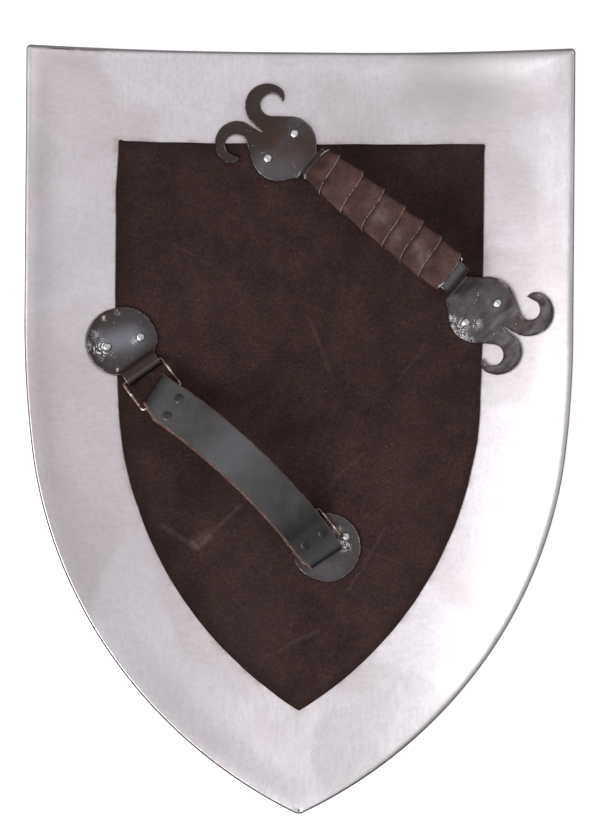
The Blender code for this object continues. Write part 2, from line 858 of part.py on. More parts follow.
def strap_frame(route, along, across):
    """A matrix in the middle of the strap's two layers, with its Z axis square to them."""
    left, right = route.edges(along, False)
    sideways = (across - left) / (right - left)
    origin = route.point(along, 0.5, sideways, False)
    forward, _ = strap_direction(along)
    normal = route.normal(along)
    ahead = Vector((forward.x, forward.y, route.slope(along))).normalized()
    side = normal.cross(ahead)
    return Matrix.Translation(origin) @ Matrix((ahead, side, normal)).transposed().to_4x4()


# --- Rivets ---------------------------------------------------------------------------------------


def turned_mesh(name, profile):
    """A mesh with one edge line, top to bottom on its outer side, for a Screw modifier to turn."""
    mesh = bpy.data.meshes.new(name)
    bm = bmesh.new()
    verts = [bm.verts.new((radius, 0.0, z)) for radius, z in profile]
    for first, second in zip(verts, verts[1:]):
        bm.edges.new((first, second))
    bm.to_mesh(mesh)
    bm.free()
    return mesh


def turned_object(name, mesh, material_name, matrix):
    obj = add_object(name, mesh, material_name)
    screw = obj.modifiers.new("turn", "SCREW")
    screw.steps = 12
    screw.render_steps = 12
    screw.use_merge_vertices = True
    screw.merge_threshold = 1e-5
    obj.matrix_world = matrix


def rivet_profile(grip):
    """From the hammered end in the hollow down to the flat head on the face; z = 0 is the face."""
    top = grip + GAP
    low = -GAP - FRONT_HEAD_HEIGHT
    return (
        (0.0, top + BACK_HEAD_HEIGHT),
        (BACK_HEAD * 0.5, top + BACK_HEAD_HEIGHT * 0.86),
        (BACK_HEAD * 0.88, top + BACK_HEAD_HEIGHT * 0.45),
        (BACK_HEAD, top),
        (SHANK, top),
        (SHANK, -GAP),
        (FRONT_HEAD, -GAP),
        (FRONT_HEAD, low * 0.6),
        (FRONT_HEAD * 0.8, low),
        (0.0, low),
    )


def make_shield_rivets():
    sets = (
        ("grip_rivet", GRIP_RIVETS, FITTING_DEPTH + GRIP_THICKNESS),
        ("anchor_rivet", ANCHOR_RIVETS, FITTING_DEPTH + ANCHOR_THICKNESS),
    )
    for name, places, grip in sets:
        mesh = turned_mesh(name, rivet_profile(grip))
        for number, (x, y) in enumerate(places, 1):
            turned_object(f"{name}_{number}", mesh, "rivet_steel", frame_at(x, y))


def make_strap_rivets(route):
    face = CLOSED_GAP / 2 + LEATHER / 2 + GAP
    head, washer = 0.0047, 0.0030
    profile = (
        (0.0, face + 0.0013),
        (head * 0.6, face + 0.0011),
        (head, face + 0.0004),
        (head, face),
        (STRAP_SHANK, face),
        (STRAP_SHANK, -face),
        (washer, -face),
        (washer * 0.8, -face - 0.0008),
        (0.0, -face - 0.0009),
    )
    mesh = turned_mesh("strap_rivet", profile)
    for number, place in enumerate(STRAP_RIVETS, 1):
        name = f"strap_rivet_{number}"
        turned_object(name, mesh, "strap_rivet_black", strap_frame(route, *place))


def make_hole_cutters(route):
    for number, (x, y) in enumerate(GRIP_RIVETS + ANCHOR_RIVETS, 1):
        hole = round_cutter(SHANK + GAP, 0.016)
        add_cutter(f"shield_hole_{number}", hole, frame_at(x, y, 0.004), SHIELD_HOLES)
    for number, place in enumerate(STRAP_RIVETS, 1):
        hole = round_cutter(STRAP_SHANK + GAP, 0.014)
        add_cutter(f"strap_hole_{number}", hole, strap_frame(route, *place), STRAP_HOLES)


# --- Build ----------------------------------------------------------------------------------------

clear_scene()
PARTS = new_collection("heater_shield")
CUTTERS = new_collection("cutters")
SHIELD_HOLES = new_collection("shield_holes")
STRAP_HOLES = new_collection("strap_holes")
MATERIALS = {name: new_material(name) for name in COLOURS}
SHIELD = bpy.data.objects.new("shield_origin", None)
PARTS.objects.link(SHIELD)

upper_ring = ring_frame(UPPER_ANCHOR, UPPER_TAB_ANGLE, UPPER_RING_ANGLE, UPPER_RING_TILT)
lower_ring = ring_frame(LOWER_ANCHOR, LOWER_TAB_ANGLE, LOWER_RING_ANGLE, LOWER_RING_TILT)
strap_route = StrapRoute(upper_ring, lower_ring)

make_hole_cutters(strap_route)
make_shield_body()
make_liner()
make_grip_bar()
make_grip_wrap()
make_anchor("strap_anchor_upper", UPPER_ANCHOR, UPPER_TAB_ANGLE)
make_anchor("strap_anchor_lower", LOWER_ANCHOR, LOWER_TAB_ANGLE)
make_ring("ring_upper", upper_ring)
make_ring("ring_lower", lower_ring)
make_strap(strap_route)
make_shield_rivets()
make_strap_rivets(strap_route)
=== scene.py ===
"""Looks of the heater shield: a fine mesh and a finish for each piece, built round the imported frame.

Metres, +Z up. The shield lies hollow side up, with its top edge to +Y and its tip to -Y.
"""

import math

import bmesh
import bpy
import numpy as np
from mathutils import Matrix, Vector, kdtree, noise
from mathutils.geometry import delaunay_2d_cdt


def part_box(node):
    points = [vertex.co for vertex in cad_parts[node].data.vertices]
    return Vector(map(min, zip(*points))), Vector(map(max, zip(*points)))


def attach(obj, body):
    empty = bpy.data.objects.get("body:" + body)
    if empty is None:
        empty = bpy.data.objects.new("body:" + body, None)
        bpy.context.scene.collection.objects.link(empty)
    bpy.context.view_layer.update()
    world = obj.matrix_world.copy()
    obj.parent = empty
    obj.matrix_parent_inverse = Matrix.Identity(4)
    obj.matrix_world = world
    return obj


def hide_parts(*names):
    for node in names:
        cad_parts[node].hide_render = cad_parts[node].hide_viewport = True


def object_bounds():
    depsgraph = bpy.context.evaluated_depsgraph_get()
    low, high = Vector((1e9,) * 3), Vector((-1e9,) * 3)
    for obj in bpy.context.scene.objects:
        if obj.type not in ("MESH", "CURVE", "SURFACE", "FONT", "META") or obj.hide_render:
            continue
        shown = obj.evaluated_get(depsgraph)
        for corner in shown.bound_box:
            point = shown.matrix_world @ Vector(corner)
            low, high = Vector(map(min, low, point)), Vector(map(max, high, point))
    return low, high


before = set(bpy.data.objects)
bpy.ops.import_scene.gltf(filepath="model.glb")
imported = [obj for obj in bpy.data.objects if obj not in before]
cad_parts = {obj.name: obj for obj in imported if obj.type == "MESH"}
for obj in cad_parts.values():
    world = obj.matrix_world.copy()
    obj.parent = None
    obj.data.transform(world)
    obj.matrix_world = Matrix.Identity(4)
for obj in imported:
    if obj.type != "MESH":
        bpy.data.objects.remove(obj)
CAD_LOW, CAD_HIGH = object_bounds()

# --- Sizes ----------------------------------------------------------------------------------------

# GAP lies between pieces that touch. The sheet is flat for FLAT_HALF to each side of its middle and
# bends to a radius of FLANK_BEND beyond that.
GAP = 0.0003
FLAT_HALF = 0.035
FLANK_BEND = 0.6528
SHEET = 0.0015
# The outlines: where the straight sides end, the radius and degrees of the ease below them, the
# radius of the flanks, the rounding of the top corners and of the tip, and how far the tip leans.
SHOULDER = 0.10173
SHIELD_EASE = (1.028, 6.5)
SHIELD_FLANK = 0.446
SHIELD_CORNER = 0.0045
SHIELD_TIP_HALF = 0.0025
SHIELD_LEAN = 0.0035
LINER_SHOULDER = 0.1467
LINER_EASE = (2.588, 2.69)
LINER_FLANK = 0.3633
LINER_LEAN = 0.003
FACE_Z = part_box("shield_body")[0].z

LINER = 0.0025
LINER_DEPTH = SHEET + GAP
FITTING_DEPTH = LINER_DEPTH + LINER + GAP

GRIP_CENTRE = Vector((0.0806, 0.2007))
GRIP_ANGLE = math.radians(-39.35)
GRIP_THICKNESS = 0.003
GRIP_BAR_HALF = 0.015
CREASE_TO_CREASE = 0.186
GRIP_RISE = 0.044
RISER_ANGLE = math.radians(88)
LOWER_BEND = 0.0040
UPPER_BEND = 0.0052
PLATE_SHIFT = -0.0034
HORN_TIP = 0.0096
# Each plate: the end of the slit between its horns, then for each side the centres and radii of
# three arcs (the plate's own edge, the horn's inner curl and its outer edge) and where the last
# one turns in to the tip, in degrees.
UPPER_PLATE = (
    (0.054, 0.0032),
    (
        (((0.0265, 0.0070), 0.0250), ((0.0632, 0.0236), 0.0110), ((0.0658, 0.0198), 0.0216), 86),
        (((0.0280, 0.0087), 0.0262), ((0.0646, 0.0285), 0.0106), ((0.0652, 0.0262), 0.0212), 97),
    ),
)
LOWER_PLATE = (
    (0.056, 0.0),
    (
        (((0.0308, 0.0080), 0.0258), ((0.0668, 0.0270), 0.0100), ((0.0684, 0.0221), 0.0217), 80),
        (((0.0312, 0.0075), 0.0255), ((0.0658, 0.0278), 0.0098), ((0.0666, 0.0243), 0.0221), 95),
    ),
)

WRAP_START = -0.0850
WRAP_END = 0.0795
WRAP_HALF_WIDTH = 0.0210
WRAP_HALF_THICKNESS = 0.0066
WRAP_PITCH = 0.0240
STRIP_DEPTH = 0.0012
STEPS_A_TURN = 60

DISC_RADIUS = 0.033
ANCHOR_THICKNESS = 0.002
TAB_ROOT = 0.0250
TAB_NECK = 0.0278
TAB_HALF = 0.0188
BAR_REACH = 0.0340
BAR_SLACK = 0.0018
UPPER_TAB_SLOPE = math.radians(42)
LOWER_TAB_SLOPE = math.radians(60)
TAIL_END = 0.029
UPPER_ANCHOR = Vector((-0.1687, 0.0862))
UPPER_TAB_ANGLE = math.radians(-54)
LOWER_ANCHOR = Vector((0.0282, -0.1097))
LOWER_TAB_ANGLE = math.radians(135.3)

WIRE = 0.0014
RING_LENGTH = 0.034
RING_WIDTH = 0.0440
RING_CORNER = 0.0022
RING_PLAY = -0.0008
UPPER_RING_ANGLE = math.radians(-51.3)
UPPER_RING_TILT = math.radians(19)
LOWER_RING_ANGLE = math.radians(-49.9)
LOWER_RING_TILT = math.radians(9.5)

STRAP_ARC_CENTRE = Vector((-0.4113, -0.4153))
STRAP_ARC_RADIUS = 0.5278
STRAP_START_ANGLE = math.radians(59.25)
STRAP_LENGTH = 0.234
STRAP_HALF = 0.0208
LEATHER = 0.003
LOOP_GAP = 2 * (WIRE + GAP) + LEATHER
CLOSED_GAP = LEATHER + GAP
STRAP_TAIL = 0.042
UPPER_FOLD = (-0.0130, 0.0208)
LOWER_FOLD = (-0.0170, 0.0205)
STRAP_CREST = 0.066

FRONT_HEAD = 0.0060
FRONT_HEAD_HEIGHT = 0.0012
BACK_HEAD = 0.0043
BACK_HEAD_HEIGHT = 0.0019
SHANK_NECK = 0.0023
STRAP_HEAD = 0.0047
GRIP_RIVETS = ((-0.0055, 0.2874), (-0.0309, 0.2634), (0.1908, 0.1254), (0.1606, 0.1069))
ANCHOR_RIVETS = ((-0.1838, 0.0809), (-0.1523, 0.0908), (0.0468, -0.0993), (0.0106, -0.1193))
STRAP_RIVETS = ((0.0276, 0.0090), (0.0276, -0.0108), (0.2110, 0.0128), (0.2110, -0.0076))
# How far apart the arcs are that a tool has cut round the first anchor rivet.
CHATTER = 0.0026

# The camera is over this place in plan, so far above the sheet, turned a little about its view.
CAMERA_OVER = (0.0018, 0.0125)
CAMERA_RISE = 2.4
CAMERA_TURN = math.radians(0.44)
CAMERA_LENS = 106.87

DOME_AXIS = (-0.08, 0.0, 1.0)
DOME_REACH = (0.36, 0.72)
DOME_LIGHT = (0.15, 0.79)
BACKDROP = 1.08
FLOOR_GLOW = 0.62

# --- Node materials -------------------------------------------------------------------------------


class Finish:
    """Builds one material's nodes. Textures are laid out in metres, in the object's own space.

    tone is the colour so far: ground starts it, and each coat lays another colour over it.
    """

    def __init__(self, name, **plain):
        self.material = bpy.data.materials.new(name)
        self.material.use_nodes = True
        self.nodes = self.material.node_tree.nodes
        self.links = self.material.node_tree.links
        self.shader = self.nodes["Principled BSDF"]
        for socket, value in plain.items():
            self.shader.inputs[socket.replace("_", " ")].default_value = value
        self.place = self.nodes.new("ShaderNodeTexCoord").outputs["Object"]

    def add(self, kind, inputs, **settings):
        node = self.nodes.new(kind)
        for setting, value in settings.items():
            setattr(node, setting, value)
        for key, value in inputs.items():
            self.put(node.inputs[key], value)
        return node

    def put(self, socket, value):
        if isinstance(value, bpy.types.NodeSocket):
            self.links.new(value, socket)
        elif isinstance(value, tuple) and len(value) == 3 and socket.type == "RGBA":
            socket.default_value = (*value, 1.0)
        else:
            socket.default_value = value

    def set(self, socket, value):
        self.put(self.shader.inputs[socket], value)

    def warped(self, stretch=(1, 1, 1), turn=0.0, shift=0.0):
        """The place, stretched along its axes and turned about Z."""
        shift, turn = (shift, shift, shift), (0.0, 0.0, turn)
        inputs = {"Vector": self.place, "Location": shift, "Rotation": turn, "Scale": stretch}
        return self.add("ShaderNodeMapping", inputs).outputs["Vector"]

    def noise(self, scale, detail=2.0, roughness=0.5, place=None, distortion=0.0, output="Fac"):
        values = (place or self.place, scale, detail, roughness, distortion)
        inputs = dict(zip(("Vector", "Scale", "Detail", "Roughness", "Distortion"), values))
        return self.add("ShaderNodeTexNoise", inputs).outputs[output]

    def cells(self, scale, place=None):
        """Distance from the middles of scattered cells."""
        inputs = {"Vector": place or self.place, "Scale": scale}
        return self.add("ShaderNodeTexVoronoi", inputs).outputs["Distance"]

    def between(self, value, low, high, to_low=0.0, to_high=1.0):
        """The value's place between low and high, clamped, spread over to_low..to_high."""
        inputs = {0: value, 1: low, 2: high, 3: to_low, 4: to_high}
        return self.add("ShaderNodeMapRange", inputs, clamp=True).outputs[0]

    def maths(self, operation, a, b=0.5):
        return self.add("ShaderNodeMath", {0: a, 1: b}, operation=operation).outputs[0]

    def plus(self, a, b):
        return self.maths("ADD", a, b)

    def times(self, a, b):
        return self.maths("MULTIPLY", a, b)

    def most(self, a, b):
        return self.maths("MAXIMUM", a, b)

    def vector(self, operation, a, b, output="Vector"):
        return self.add("ShaderNodeVectorMath", {0: a, 1: b}, operation=operation).outputs[output]

    def mix(self, share, a, b):
        return self.add("ShaderNodeMix", {0: share, 6: a, 7: b}, data_type="RGBA").outputs[2]

    def blend(self, share, a, b):
        """Like mix, for plain numbers."""
        return self.add("ShaderNodeMix", {0: share, 2: a, 3: b}, data_type="FLOAT").outputs[0]

    def ground(self, share, dark, light):
        self.tone = self.mix(share, dark, light)

    def coat(self, share, colour):
        self.tone = self.mix(share, self.tone, colour)

    def stroke(self, place, start, end, half):
        """1 along a line in plan, falling to 0 at either side of it."""
        start = Vector((*start, 0.0))
        way = Vector((*end, 0.0)) - start
        off = self.vector("SUBTRACT", place, tuple(start))
        along = self.vector("DOT_PRODUCT", off, tuple(way / way.length_squared), "Value")
        scaled = {0: tuple(way), "Scale": self.between(along, 0.0, 1.0)}
        foot = self.add("ShaderNodeVectorMath", scaled, operation="SCALE").outputs[0]
        away = self.vector("DISTANCE", off, foot, "Value")
        return self.between(away, 0.2 * half, 2.0 * half, 1.0, 0.0)

    def away(self, centre):
        """Distance in plan from a point on the shield."""
        flat = self.vector("MULTIPLY", self.place, (1, 1, 0))
        return self.vector("DISTANCE", flat, (*centre, 0.0), "Value")

    def painted(self, name):
        """A share painted on the mesh's points."""
        return self.add("ShaderNodeAttribute", {}, attribute_name=name).outputs["Fac"]

    def bump(self, *layers):
        """Layers of (height, strength, distance), the coarsest first."""
        normal = None
        for height, strength, distance in layers:
            inputs = {"Height": height, "Strength": strength, "Distance": distance}
            if normal:
                inputs["Normal"] = normal
            normal = self.add("ShaderNodeBump", inputs).outputs["Normal"]
        self.set("Normal", normal)

    def close(self, rough, *layers):
        """Joins the tone, the roughness and the bump layers to the shader."""
        self.set("Base Color", self.tone)
        self.set("Roughness", rough)
        self.bump(*layers)
        return self.material


def shaded(colour, share):
    return tuple(min(1.0, share * c) for c in colour)


def steel_tone(made, lots, brush, cloud):
    """Sanded patches in different greys, with the brushing and a grain of sand over them."""
    made.ground(made.between(cloud, 0.32, 0.68), (0.655, 0.606, 0.625), (0.752, 0.714, 0.733))
    made.coat(made.between(lots[0], 0.35, 0.75, 0.0, 0.75), (0.832, 0.793, 0.826))
    made.coat(made.between(lots[2], 0.50, 0.72, 0.0, 0.55), (0.618, 0.597, 0.592))
    made.coat(made.between(lots[1], 0.58, 0.78, 0.0, 0.55), (0.680, 0.612, 0.622))
    made.coat(made.between(brush, 0.30, 0.70, 0.23, 0.0), (0.36, 0.34, 0.35))
    sand = made.between(made.noise(230.0, 4.0, 0.7), 0.30, 0.70, -0.08, 0.20)
    made.coat(made.most(sand, 0.0), (0.36, 0.34, 0.34))


def steel_finish():
    """Bright sheet steel, sanded in patches that run different ways, with specks and a dirty seam."""
    made = Finish("steel_sheet", Metallic=1.0)
    drift = made.noise(6.5, 3.0, 0.5, output="Color")
    bent = made.vector("ADD", made.vector("MULTIPLY", drift, (0.22, 0.22, 0.22)), made.place)
    inputs = {"Vector": bent, "Scale": 8.5, "Smoothness": 0.42}
    patches = made.add("ShaderNodeTexVoronoi", inputs, feature="SMOOTH_F1").outputs["Color"]
    lots = made.add("ShaderNodeSeparateColor", {0: patches}).outputs
    upright = made.noise(1.0, 4.0, 0.74, place=made.warped((420, 70, 60), turn=0.06))
    level = made.noise(1.0, 4.0, 0.74, place=made.warped((75, 420, 60), turn=-0.16))
    brush = made.mix(made.between(lots[1], 0.32, 0.68), upright, level)
    steel_tone(made, lots, brush, made.noise(13.0, 3.0, 0.45))
    grit = made.between(made.noise(300.0, 3.0, 0.6), 0.3, 0.7, -0.05, 0.07)
    dots = made.between(made.plus(made.cells(90.0), grit), 0.02, 0.07, 1.0, 0.0)
    some = made.between(made.noise(17.0, 2.0), 0.54, 0.62)
    specks = made.times(dots, made.times(some, 0.45))
    made.coat(specks, (0.13, 0.10, 0.09))
    blots = made.between(made.noise(70.0, 4.0, 0.65), 0.42, 0.66)
    stain = made.times(made.painted("stain"), blots)
    made.coat(made.times(stain, 0.7), (0.34, 0.25, 0.22))
    # Grey film, and painted shade on parts of the flanks.
    made.coat(made.painted("film"), (0.470, 0.452, 0.444))
    # Painted shade in the crack near the top left corner and in the notch's pit beside the tip.
    broken = made.maths("SUBTRACT", made.painted("dark"), made.noise(330.0, 3.0, 0.65))
    made.coat(made.between(broken, 0.20, 0.34), (0.022, 0.020, 0.020))
    # Painted shade on the rounded outer fold.
    made.coat(made.painted("rim"), (0.070, 0.067, 0.068))
    rough = made.between(lots[0], 0.2, 0.8, 0.37, 0.33)
    rough = made.plus(rough, made.between(brush, 0.3, 0.7, -0.03, 0.05))
    rough = made.plus(rough, made.times(specks, 0.3))
    return made.close(rough, (made.noise(45.0, 2.0, 0.5), 0.20, 0.0006), (brush, 0.07, 0.0001))


def suede_scuffs(made, marks):
    """Where the nap is rubbed pale: the painted share and the long marks, both patchy."""
    patchy = made.between(made.noise(230.0, 4.0, 0.65), 0.32, 0.60, 0.35, 1.0)
    scuff = made.times(made.painted("scuff"), patchy)
    if marks:
        shaken = made.noise(60.0, 3.0, output="Color")
        shaken = made.vector("MULTIPLY", shaken, (0.006, 0.006, 0.0))
        flat = made.vector("MULTIPLY", made.place, (1.0, 1.0, 0.0))
        place = made.vector("ADD", made.vector("ADD", flat, shaken), (-0.003, -0.003, 0.0))
    for start, end, half, share in marks:
        mark = made.times(made.stroke(place, start, end, half), share)
        scuff = made.most(scuff, made.times(mark, patchy))
    return scuff


def suede_finish(name, dark, light, pale, nap=420.0, force=1.0, marks=()):
    """Suede: a mottled nap with pale specks and long marks. Painted shares rub it pale or darken it with
    painted shade.
    """
    made = Finish(name, Metallic=0.0, Specular_IOR_Level=0.10, Sheen_Weight=0.13, Sheen_Roughness=0.5)
    made.set("Sheen Tint", (0.62, 0.50, 0.46))
    mottle = made.noise(30.0, 6.0, 0.66)
    broad = made.noise(8.0, 2.0, 0.5)
    hair = made.noise(nap, 3.0, 0.65)
    strokes = made.noise(1.0, 3.0, 0.6, place=made.warped((160, 480, 200), turn=0.9))
    other = made.noise(1.0, 3.0, 0.6, place=made.warped((520, 110, 200), turn=0.35, shift=2.0))
    lie = made.plus(mottle, made.between(broad, 0.3, 0.7, -0.05, 0.05))
    made.ground(made.between(lie, 0.30, 0.72), dark, light)
    made.coat(made.between(other, 0.58, 0.78, 0.0, 0.40 * force), light)
    made.coat(made.between(hair, 0.35, 0.75, 0.0, 0.55 * force), shaded(dark, 0.45))
    made.coat(made.between(strokes, 0.55, 0.80, 0.0, 0.35 * force), light)
    made.coat(suede_scuffs(made, marks), pale)
    # Painted shade.
    made.coat(made.painted("press"), shaded(dark, 0.55))
    dots = made.between(made.cells(190.0), 0.05, 0.13, 1.0, 0.0)
    some = made.between(made.noise(90.0, 1.0, place=made.warped(shift=1.7)), 0.62, 0.68)
    made.coat(made.times(dots, made.times(some, 0.38)), shaded(pale, 3.2))
    rough = made.between(hair, 0.2, 0.8, 0.80, 0.98)
    made.close(rough, (mottle, 0.35, 0.0008), (strokes, 0.2, 0.0003), (hair, 0.7, 0.0004))
    return made


def liner_finish():
    """The lining's dark suede, with its long marks."""
    dark, light, pale = (0.0255, 0.0140, 0.0130), (0.0570, 0.0316, 0.0288), (0.125, 0.085, 0.080)
    return suede_finish("suede_lining", dark, light, pale, force=1.45, marks=SUEDE_MARKS).material


def wrap_finish():
    """Brown suede with a pale cut edge and patches that a hand has rubbed shiny."""
    dark, light, pale = (0.041, 0.022, 0.020), (0.118, 0.069, 0.063), (0.30, 0.245, 0.25)
    made = suede_finish("grip_suede_worn", dark, light, pale, nap=520.0, force=0.85)
    warm = made.noise(75.0, 3.0, place=made.warped(shift=3.0))
    made.coat(made.between(warm, 0.50, 0.72, 0.0, 0.45), (0.150, 0.082, 0.066))
    frayed = made.between(made.noise(380.0, 2.0), 0.34, 0.56)
    made.coat(made.times(made.painted("edge"), frayed), (0.47, 0.37, 0.35))
    made.set("Base Color", made.tone)
    made.set("Roughness", made.between(made.painted("scuff"), 0.0, 0.8, 0.9, 0.5))
    return made.material


def iron_cuts(made):
    """Bright cuts: the marks of a file, and the arcs of a tool that chattered round one rivet."""
    files = made.noise(1.0, 2.0, 0.5, place=made.warped((260, 150, 200), turn=0.7), distortion=1.8)
    middle = made.maths("ABSOLUTE", made.maths("SUBTRACT", files, 0.5))
    cuts = made.between(middle, 0.018, 0.040, 1.0, 0.0)
    cuts = made.most(cuts, made.between(files, 0.585, 0.61))
    away = made.away(ANCHOR_RIVETS[0])
    wobble = made.between(made.noise(150.0, 3.0), 0.3, 0.7, -0.0013, 0.0013)
    wave = made.times(made.plus(away, wobble), math.tau / CHATTER)
    arcs = made.between(made.maths("SINE", wave), 0.10, 0.55)
    arcs = made.times(arcs, made.between(made.noise(330.0, 2.0), 0.36, 0.50))
    return made.blend(made.between(away, 0.0110, 0.0130), arcs, cuts)


def iron_finish(name, dark, brown):
    """Blackened steel: a mottled oxide, brown in patches and bright where a tool has cut it."""
    made = Finish(name, Metallic=1.0)
    mottle = made.noise(38.0, 4.0, 0.6)
    fine = made.noise(240.0, 4.0, 0.6)
    warm = made.between(made.noise(21.0, 2.0, place=made.warped(shift=5.0)), 0.45, 0.68)
    made.ground(made.between(mottle, 0.3, 0.7), dark, shaded(dark, 1.55))
    made.coat(made.times(warm, made.painted("brown")), brown)
    made.coat(made.between(fine, 0.35, 0.7, 0.35, 0.0), shaded(dark, 0.5))
    # Painted highlight (pale) and painted shade, brownish like the oxide (shade).
    made.coat(made.painted("pale"), (0.235, 0.236, 0.262))
    made.coat(made.painted("shade"), (0.050, 0.035, 0.031))
    # Bright edges: wear, and painted highlight where the bevels catch the light.
    worn = made.between(made.noise(210.0, 3.0, 0.7), 0.40, 0.58)
    rim = made.times(made.painted("edge"), worn)
    bare = made.times(made.painted("bare"), iron_cuts(made))
    bright = made.most(made.times(rim, 0.55), bare)
    pits = made.between(made.cells(300.0), 0.10, 0.22, 1.0, 0.0)
    chips = made.times(pits, made.between(made.noise(70.0, 2.0), 0.60, 0.68))
    bright = made.most(bright, made.times(chips, 0.45))
    made.coat(bright, (0.93, 0.91, 0.90))
    rough = made.blend(bright, made.between(mottle, 0.3, 0.7, 0.36, 0.50), 0.28)
    return made.close(rough, (mottle, 0.35, 0.0008), (fine, 0.25, 0.0002), (bare, 0.5, 0.0004))


def leather_finish():
    """Black strap leather with a fine grain and worn streaks along it."""
    made = Finish("black_leather", Specular_IOR_Level=0.42)
    grain = made.cells(1500.0, place=made.warped((1.0, 1.0, 0.6)))
    mottle = made.noise(55.0, 4.0, 0.6)
    rubbed = made.noise(1.0, 3.0, place=made.warped((240, 30, 60), turn=0.85))
    fine = made.noise(400.0, 3.0, 0.65)
    made.ground(made.between(mottle, 0.3, 0.7), (0.048, 0.045, 0.045), (0.080, 0.076, 0.076))
    made.coat(made.between(fine, 0.35, 0.70, 0.0, 0.45), (0.034, 0.032, 0.032))
    made.coat(made.between(rubbed, 0.55, 0.75, 0.0, 0.3), (0.095, 0.090, 0.088))
    # Painted highlight, partly wear, along the crest, and painted shade at the folds and the lower end.
    made.coat(made.painted("worn"), (0.155, 0.158, 0.178))
    end_shade = made.painted("press")
    made.coat(end_shade, (0.004, 0.0035, 0.0035))
    rough = made.blend(end_shade, made.between(mottle, 0.25, 0.75, 0.38, 0.50), 0.44)
    return made.close(rough, (mottle, 0.2, 0.0005), (grain, 0.22, 0.00012))


def flesh_finish(name, dark, light):
    """The cut edge or the flesh side of leather: tan fibres."""
    made = Finish(name, Specular_IOR_Level=0.2, Sheen_Weight=0.15)
    fibres = made.noise(650.0, 4.0, 0.7)
    patches = made.noise(95.0, 3.0)
    made.ground(made.between(fibres, 0.3, 0.7), dark, light)
    made.coat(made.between(patches, 0.4, 0.65, 0.0, 0.6), dark)
    rough = made.between(fibres, 0.2, 0.8, 0.75, 0.95)
    return made.close(rough, (patches, 0.4, 0.0006), (fibres, 0.6, 0.0003))


def wire_finish():
    """Ring wire: rust brown, bright where it has rubbed."""
    made = Finish("ring_wire_dark", Metallic=1.0)
    rust = made.noise(85.0, 4.0, 0.65)
    fine = made.noise(420.0, 3.0)
    made.ground(made.between(rust, 0.40, 0.65), (0.11, 0.066, 0.054), (0.38, 0.26, 0.215))
    bright = made.between(made.noise(120.0, 2.0, place=made.warped(shift=2.0)), 0.54, 0.64, 0.0, 0.8)
    made.coat(bright, (0.78, 0.68, 0.62))
    rough = made.between(fine, 0.3, 0.7, 0.30, 0.46)
    return made.close(rough, (rust, 0.4, 0.0004), (fine, 0.3, 0.0001))


def rivet_finish():
    """Bright hammered steel, darker round the foot of the head with dirt and painted shade."""
    made = Finish("rivet_bright", Metallic=1.0)
    mottle = made.noise(300.0, 3.0)
    made.ground(made.between(mottle, 0.3, 0.75), (0.36, 0.35, 0.35), (0.74, 0.73, 0.72))
    # Dirt and painted shade where the head meets the plate.
    dirt = made.times(made.painted("edge"), made.between(mottle, 0.3, 0.6, 1.0, 0.4))
    made.coat(dirt, (0.10, 0.09, 0.085))
    rough = made.between(mottle, 0.2, 0.8, 0.22, 0.40)
    return made.close(rough, (mottle, 0.7, 0.0006), (made.cells(420.0), 0.4, 0.0003))


def black_rivet_finish():
    """Black rivet heads, worn along the rim and darkened by painted shade, most on the lower ones."""
    made = Finish("rivet_black", Metallic=0.6)
    mottle = made.noise(260.0, 3.0)
    made.ground(made.between(mottle, 0.3, 0.7), (0.050, 0.050, 0.051), (0.085, 0.083, 0.082))
    rim = made.times(made.painted("edge"), made.between(mottle, 0.35, 0.55, 0.2, 0.8))
    made.coat(rim, (0.17, 0.16, 0.15))
    made.coat(made.painted("press"), (0.006, 0.005, 0.005))
    return made.close(made.between(mottle, 0.3, 0.7, 0.36, 0.50), (mottle, 0.3, 0.0003))


def floor_finish():
    """Pale studio floor. The camera sees it lit up to white, and it throws little light back."""
    made = Finish("floor_white", Roughness=0.9, Specular_IOR_Level=0.1)
    seen = made.nodes.new("ShaderNodeLightPath").outputs["Is Camera Ray"]
    grain = made.between(made.noise(40.0, 2.0), 0.3, 0.7)
    lit = made.mix(grain, (0.93, 0.93, 0.93), (0.95, 0.95, 0.95))
    made.set("Base Color", made.mix(seen, (0.40, 0.40, 0.40), lit))
    made.set("Emission Color", (1.0, 1.0, 1.0))
    made.set("Emission Strength", made.times(seen, FLOOR_GLOW))
    return made.material


# --- Meshes ---------------------------------------------------------------------------------------


def new_object(name, data):
    obj = bpy.data.objects.new(name, data)
    bpy.context.scene.collection.objects.link(obj)
    return obj


